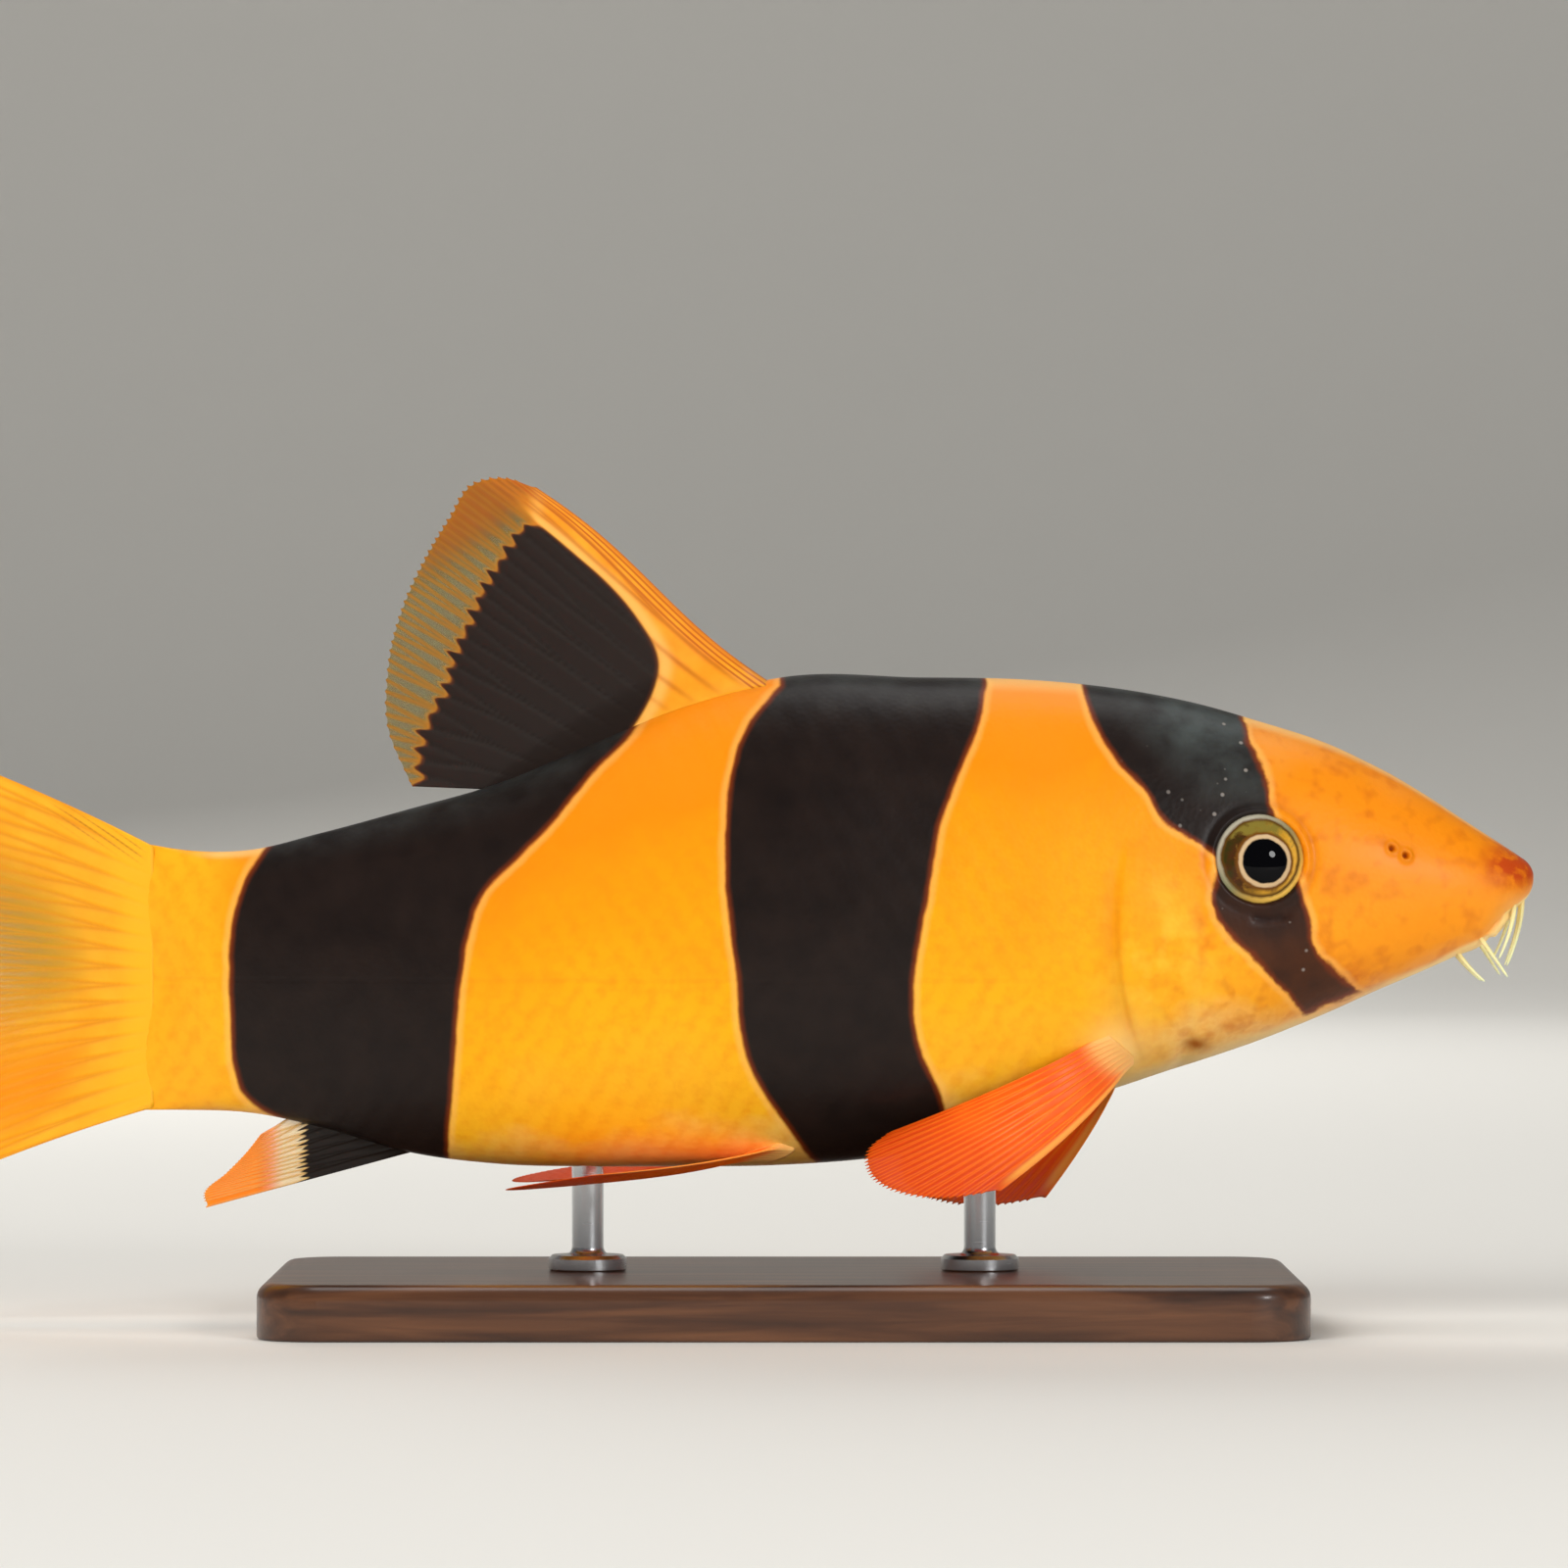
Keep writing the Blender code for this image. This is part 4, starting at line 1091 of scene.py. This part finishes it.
def tail_paint(across, along, _):
    middle = ridge(across - 0.42, 0.22)
    strokes = 0.5 - 0.5 * np.cos(2 * math.pi * (34 * across + 9 * along))
    dashes = strokes**3 * ridge(across - 0.05, 0.05) * ramp(along / 0.06) * ramp((0.42 - along) / 0.2)
    return {
        "olive": middle * ramp((along - 0.1) / 0.6),
        "clear": 0.5 * ramp((along - 0.3) / 0.5) * middle + 0.35 * ramp((along - 0.6) / 0.4),
        "ember": ridge(across - 0.8, 0.16) * ramp((along - 0.14) / 0.3),
        "dash": dashes,
        "flesh": ramp((0.28 - along) / 0.24),
    }


TAIL_NODES = ["caudal_fin_upper", "caudal_fin_lower"]
tail = make_fin(
    "tail_fan", TAIL_NODES, TAIL_RAYS, tail_surface, tail_paint,
    lambda across: 0.4 + 0 * across, rows=72, forks=(0.16, 0.5), root_share=0.3,
)

# %% [markdown]
# ### The paired fins
# The pectoral fins leave the body behind the gills and the pelvic fins under the dorsal fin. Each
# is rooted on the flank where its solid is, leaves it square, and then sweeps back and down.

# %% Paired fins
PECTORAL_ROOT = ((32.9, 8.4), (35.2, 10.9))
PECTORAL_RAYS = 10
PECTORAL_STEM = 1.6
PECTORAL_TIPS = {
    "right": (
        (0.00, 43.8, 13.2, -1.4), (0.20, 48.4, 14.2, -2.0), (0.45, 52.6, 13.6, -1.4),
        (0.70, 54.6, 11.8, 0.2), (0.88, 54.4, 10.0, 1.9), (1.00, 52.8, 8.9, 3.1),
    ),
    "left": (
        (0.00, 39.4, 13.4, -3.2), (0.20, 43.8, 15.2, -4.0), (0.45, 48.4, 15.2, -3.6),
        (0.70, 51.2, 13.6, -2.0), (0.88, 51.6, 11.6, 0.2), (1.00, 50.4, 9.8, 2.4),
    ),
}
PELVIC_ROOT = ((60.4, 1.9), (63.2, 0.8))
PELVIC_RAYS = 8
PELVIC_STEM = 1.0
PELVIC_TIPS = (
    (0.00, 76.6, 11.8, -0.2), (0.20, 80.4, 11.4, -0.8), (0.50, 83.4, 9.4, -1.4),
    (0.80, 82.8, 6.6, -1.6), (1.00, 79.6, 4.6, -1.3),
)


def make_paired_fin(name, node, hand, rays, root, stem, tip_rows):
    tips = Curve(tip_rows)

    def surface(across, along):
        across = np.clip(across, 0, 1)
        behind, height = [between(*ends, across) for ends in zip(*root)]
        here, facing = flank_point(behind, height, hand)
        behind, side, height = tips.at(across)
        end = place(behind, hand * side, height)
        knee = here + facing * stem + (end - here) * 0.3
        return bend(here - facing * 0.4, knee, end, along)

    def paint(across, along, _):
        return {
            "clear": 0.3 * ramp((along - 0.6) / 0.4),
            "ember": ramp((along - 0.35) / 0.6),
            "lead": ridge(across - 0.02, 0.05) * ramp((1.1 - along) / 0.3),
            "flesh": ramp((0.24 - along) / 0.2),
        }

    def root_half(across):
        return 0.5 + 0.5 * np.sqrt(np.clip(across * (1 - across) * 4, 0, 1))

    return make_fin(
        name, [node], rays, surface, paint,
        root_half, rows=56, forks=(0.3, 0.66), root_share=0.26,
    )


paired = []
for side, hand in SIDES.items():
    for fin, *sizes in (
        ("pectoral", PECTORAL_RAYS, PECTORAL_ROOT, PECTORAL_STEM, PECTORAL_TIPS[side]),
        ("pelvic", PELVIC_RAYS, PELVIC_ROOT, PELVIC_STEM, PELVIC_TIPS),
    ):
        paired.append(make_paired_fin(f"{fin}_fan_{side}", f"{fin}_fin_{side}", hand, *sizes))

# %% [markdown]
# ### What a fin looks like
# The membrane is a clear film with pigment in it, and the rays are bone that shows a shade
# darker. The finish mixes the two by the `crest` mask, lays the fin's own patches over them, and
# lets some light through where the film is thinnest.

# %% Finish of the fins
JOINTS_PER_RAY = 34


def finish_fins(name, fins, membrane, ray, layers):
    """layers are (mask, start, end, colour), laid over the mix of membrane and ray."""
    names = sorted({"crest", "clear", "along", *[layer[0] for layer in layers]})
    material, add, masks = new_material(name, names)
    where = (add("TexCoord"), "Object")
    cloud = add("TexNoise", {"Vector": where, "Scale": 1 / (2.4 * MM), "Detail": 4.0})
    crest = add("Math", (masks["crest"], 0.75), operation="MULTIPLY")
    colour = linear(membrane[0])
    for mask, hex_colour in ((add("MapRange", (cloud, 0.3, 0.7)), membrane[1]), (crest, ray)):
        colour = add("Mix", {0: mask, 6: colour, 7: linear(hex_colour)}, data_type="RGBA")
    film_only = add("MapRange", (masks["crest"], 0.0, 1.0, 1.0, 0.5))
    solid = crest
    for mask, start, end, hex_colour in layers:
        share = add("MapRange", (masks[mask], start, end), interpolation_type="SMOOTHSTEP")
        if mask == "patch":
            solid = add("Math", (solid, share), operation="MAXIMUM")
        else:
            share = add("Math", (share, film_only), operation="MULTIPLY")
        colour = add("Mix", {0: share, 6: colour, 7: linear(hex_colour)}, data_type="RGBA")
    film = add("Math", (1.0, solid), operation="SUBTRACT")
    film = add("Math", (film, masks["clear"]), operation="MULTIPLY")
    joints = add("Math", (masks["along"], 2 * math.pi * JOINTS_PER_RAY), operation="MULTIPLY")
    joints = add("Math", (joints,), operation="SINE")
    joints = add("Math", (joints, masks["crest"]), operation="MULTIPLY")
    look = {
        "Base Color": colour,
        "Roughness": 0.46,
        "IOR": 1.4,
        "Subsurface Weight": 0.2,
        "Subsurface Radius": (1.0, 0.5, 0.2),
        "Subsurface Scale": 0.5 * MM,
        "Coat Weight": 0.1,
        "Coat Roughness": 0.25,
        "Alpha": add("MapRange", (film, 0.0, 1.0, 1.0, 0.45)),
        "Normal": add("Bump", {"Height": joints, "Strength": 0.2, "Distance": 0.04 * MM}),
    }
    finish(material, add, fins, look)


dorsal_layers = (
    ("margin", 0.0, 1.0, "#6E6622"),
    ("tip", 0.0, 1.0, "#9C5816"),
    ("strip", 0.2, 1.1, "#B4500A"),
    ("rim", 0.1, 1.7, "#FAC46C"),
    ("patch", -0.12, 0.1, "#5A2A0C"),
    ("patch", -0.04, 0.3, "#1E140F"),
)
anal_layers = (("tip", 0.0, 1.0, "#FA8212"), ("patch", -0.2, 0.22, "#17100C"))
tail_layers = (
    ("olive", 0.0, 1.3, "#B08C24"),
    ("ember", 0.1, 1.2, "#F08A06"),
    ("flesh", 0.0, 1.0, "#FFB41A"),
    ("dash", 0.1, 1.3, "#9A5210"),
)
red_layers = (
    ("ember", 0.3, 1.4, "#D83204"),
    ("lead", 0.2, 0.9, "#FFA848"),
    ("flesh", 0.0, 1.0, "#FFBC68"),
)
for name, *finish_of_fins in (
    ("dorsal", [dorsal], ("#EE9418", "#F8A424"), "#B8600C", dorsal_layers),
    ("anal", [anal], ("#E8C478", "#F0D090"), "#C8964A", anal_layers),
    ("tail", [tail], ("#F5A414", "#FCB222"), "#DC8A0C", tail_layers),
    ("red", paired, ("#FF6608", "#F85404"), "#FF8218", red_layers),
):
    finish_fins(f"tinted_film_{name}", *finish_of_fins)

# %% [markdown]
# ## The barbels
# Four pairs of feelers hang from the snout and the corners of the mouth. Each is a soft tapering
# thread: a flat grid rolled round a bend that leaves the skin square and swings down and back.

# %% Barbels
BARBELS = {
    "rostral_inner": ((0.6, 21.6, 0.8), (2.3, 16.3, 1.1)),
    "rostral_outer": ((1.3, 21.2, 1.9), (3.1, 16.9, 2.8)),
    "maxillary": ((4.4, 18.5, 2.7), (2.4, 15.5, 3.8)),
    "mandibular": ((6.3, 17.3, 1.5), (4.1, 15.1, 1.9)),
}
BARBEL_ROOT_RADIUS = 0.22
BARBEL_TIP_RADIUS = 0.09
flesh = bmesh.new()
flesh.from_mesh(skin.data)
skin_tree = BVHTree.FromBMesh(flesh)
flesh.free()


def make_barbel(kind, side, hand):
    (behind, height, out), (tip_behind, tip_height, tip_out) = BARBELS[kind]
    near = Vector(place(behind, hand * out, height) * MM)
    hit, facing, _, _ = skin_tree.find_nearest(near)
    start = np.array(hit) / MM
    facing = np.array(facing)
    end = place(tip_behind, hand * tip_out, tip_height)
    knee = start + facing * 0.5 + (end - start) * 0.35
    start = start - facing * 0.3
    bm = bmesh.new()
    bmesh.ops.create_grid(bm, x_segments=16, y_segments=36, size=0.5)

    def shape(x, y, _):
        along = y + 0.5
        turn = 2 * math.pi * (x + 0.5)
        path = bend(start, knee, end, along)
        ahead = unit(bend(start, knee, end, along + 0.01) - path)
        out = unit(np.cross(ahead, (0, 1, 0)))
        over = np.cross(ahead, out)
        radius = between(BARBEL_ROOT_RADIUS, BARBEL_TIP_RADIUS, along)
        radius *= np.sqrt(np.clip((1 - along) * 12, 0, 1)) * np.sqrt(np.clip(along * 40, 0, 1))
        radius *= 1 + 0.03 * np.sin(along * 90)
        ring = out * np.cos(turn)[:, None] + over * np.sin(turn)[:, None]
        return path + ring * radius[:, None], {"along": along}

    return shaped(f"feeler_{kind}_{side}", bm, shape, [f"barbel_{kind}_{side}"])


barbels = []
for kind in BARBELS:
    barbels += [make_barbel(kind, side, hand) for side, hand in SIDES.items()]

# %% Finish of the barbels
material, add, masks = new_material("soft_barbel_skin", ["along"])
thread = ((0.0, "#F4C878"), (0.15, "#F0E2A0"), (1.0, "#ECEEBC"))
look = {
    "Base Color": add("ValToRGB", (masks["along"],), thread),
    "Roughness": 0.42,
    "Subsurface Weight": 0.3,
    "Subsurface Radius": (1.0, 0.7, 0.4),
    "Subsurface Scale": 0.4 * MM,
}
finish(material, add, barbels, look)

# %% [markdown]
# ## The stand
# The base is a slip of stained walnut with rounded corners and a rounded top edge, under satin
# lacquer. Only the edges between flat faces and bevels are kept sharp in the shading.

# %% Base
ROD_PLACES = {"front": 45.2, "rear": 77.2}
BASE_SIZE = Vector((84.0, 44.0, 4.5))
BASE_CORNER = 5.0
BASE_TOP_EDGE = 1.2
BASE_FOOT_EDGE = 0.3
LARGEST_BEVEL_FACE = 20.0


def as_built(x, y, z):
    """The shape of a piece that is made in its place."""
    return np.stack([x, y, z], axis=-1), {}


bm = bmesh.new()
middle = TOTAL_LENGTH / 2 - sum(ROD_PLACES.values()) / 2
bmesh.ops.create_cube(bm, size=1)
bmesh.ops.scale(bm, verts=bm.verts, vec=BASE_SIZE)
bmesh.ops.translate(bm, verts=bm.verts, vec=(middle, 0, BASE_SIZE.z / 2))
for low, high, offset, segments in (
    (0, BASE_SIZE.z, BASE_CORNER, 16),
    (BASE_SIZE.z, BASE_SIZE.z, BASE_TOP_EDGE, 8),
    (0, 0, BASE_FOOT_EDGE, 3),
):
    ends = [(e, sorted(vert.co.z for vert in e.verts)) for e in bm.edges]
    found = [e for e, (z1, z2) in ends if abs(z1 - low) < 0.001 and abs(z2 - high) < 0.001]
    style = {"segments": segments, "profile": 0.5, "affect": "EDGES", "material": -1}
    bmesh.ops.bevel(bm, geom=found, offset=offset, **style)
for edge in bm.edges:
    edge.smooth = max(face.calc_area() for face in edge.link_faces) < LARGEST_BEVEL_FACE
board = shaped("stand_board", bm, as_built, ["stand_base"])

# %% Finish of the base: stained walnut
# The grain is a stretched noise, 22 mm long and 1.6 mm wide, with fine pores laid over it.
material, add, _ = new_material("stained_walnut")
where = (add("TexCoord"), "Object")
stretched = {}
for name, long, wide in (("grain", 22, 1.6), ("pores", 5, 0.3)):
    scale = (1 / (long * MM), 1 / (wide * MM), 1 / (wide * MM))
    stretched[name] = add("Mapping", {"Vector": where, "Scale": scale})
streaks = {"Vector": stretched["grain"], "Scale": 1.0, "Detail": 6.0, "Distortion": 0.6}
grain = add("TexNoise", streaks)
pores = add("TexNoise", {"Vector": stretched["pores"], "Scale": 1.0, "Detail": 2.0})
stain = ((0.25, "#24130A"), (0.5, "#4A2A16"), (0.75, "#6B4226"))
look = {
    "Base Color": add("ValToRGB", (grain,), stain),
    "Roughness": 0.42,
    "Coat Weight": 0.5,
    "Coat Roughness": 0.18,
    "Normal": add("Bump", {"Height": pores, "Strength": 0.3, "Distance": 0.05 * MM}),
}
finish(material, add, [board], look)

# %% [markdown]
# Each rod was turned on a lathe with its foot, so its outline is spun round its axis. It runs up
# to the skin, where the fish rests on it.

# %% Rods
ROD_RADIUS = 1.3
FOOT_RADIUS = 3.2
FOOT_TOP = BASE_SIZE.z + 1.0

rods = []
for name, behind in ROD_PLACES.items():
    floor = BASE_SIZE.z
    top = BELLY_ABOVE_FLOOR + float(section(behind)[1]) + 0.25
    outline = [(0, floor), (FOOT_RADIUS - 0.15, floor), (FOOT_RADIUS, floor + 0.15)]
    outline += [(FOOT_RADIUS, FOOT_TOP), (FOOT_RADIUS - 0.3, FOOT_TOP + 0.3)]
    for turn in np.linspace(0, math.pi / 2, 7):
        radius = ROD_RADIUS + 0.6 * (1 - math.sin(turn))
        outline.append((radius, FOOT_TOP + 0.9 - 0.6 * math.cos(turn)))
    bm = spun([*outline, (ROD_RADIUS, top), (0, top)], 64)
    bmesh.ops.translate(bm, verts=bm.verts, vec=(TOTAL_LENGTH / 2 - behind, 0, 0))
    rod = shaped(f"stand_steel_{name}", bm, as_built, [f"stand_rod_{name}"])
    rod.data.set_sharp_from_angle(angle=math.radians(40))
    rods.append(rod)

# %% Finish of the rods: brushed steel
material, add, _ = new_material("brushed_steel")
scale = (1 / (3 * MM), 1 / (3 * MM), 1 / (0.12 * MM))
turned = add("Mapping", {"Vector": (add("TexCoord"), "Object"), "Scale": scale})
scratches = add("TexNoise", {"Vector": turned, "Scale": 1.0, "Detail": 2.0})
look = {
    "Base Color": linear("#DADBDD"),
    "Metallic": 1.0,
    "Roughness": add("MapRange", (scratches, 0.0, 1.0, 0.23, 0.29)),
    "Normal": add("Bump", {"Height": scratches, "Strength": 0.02, "Distance": 0.002 * MM}),
}
finish(material, add, rods, look)
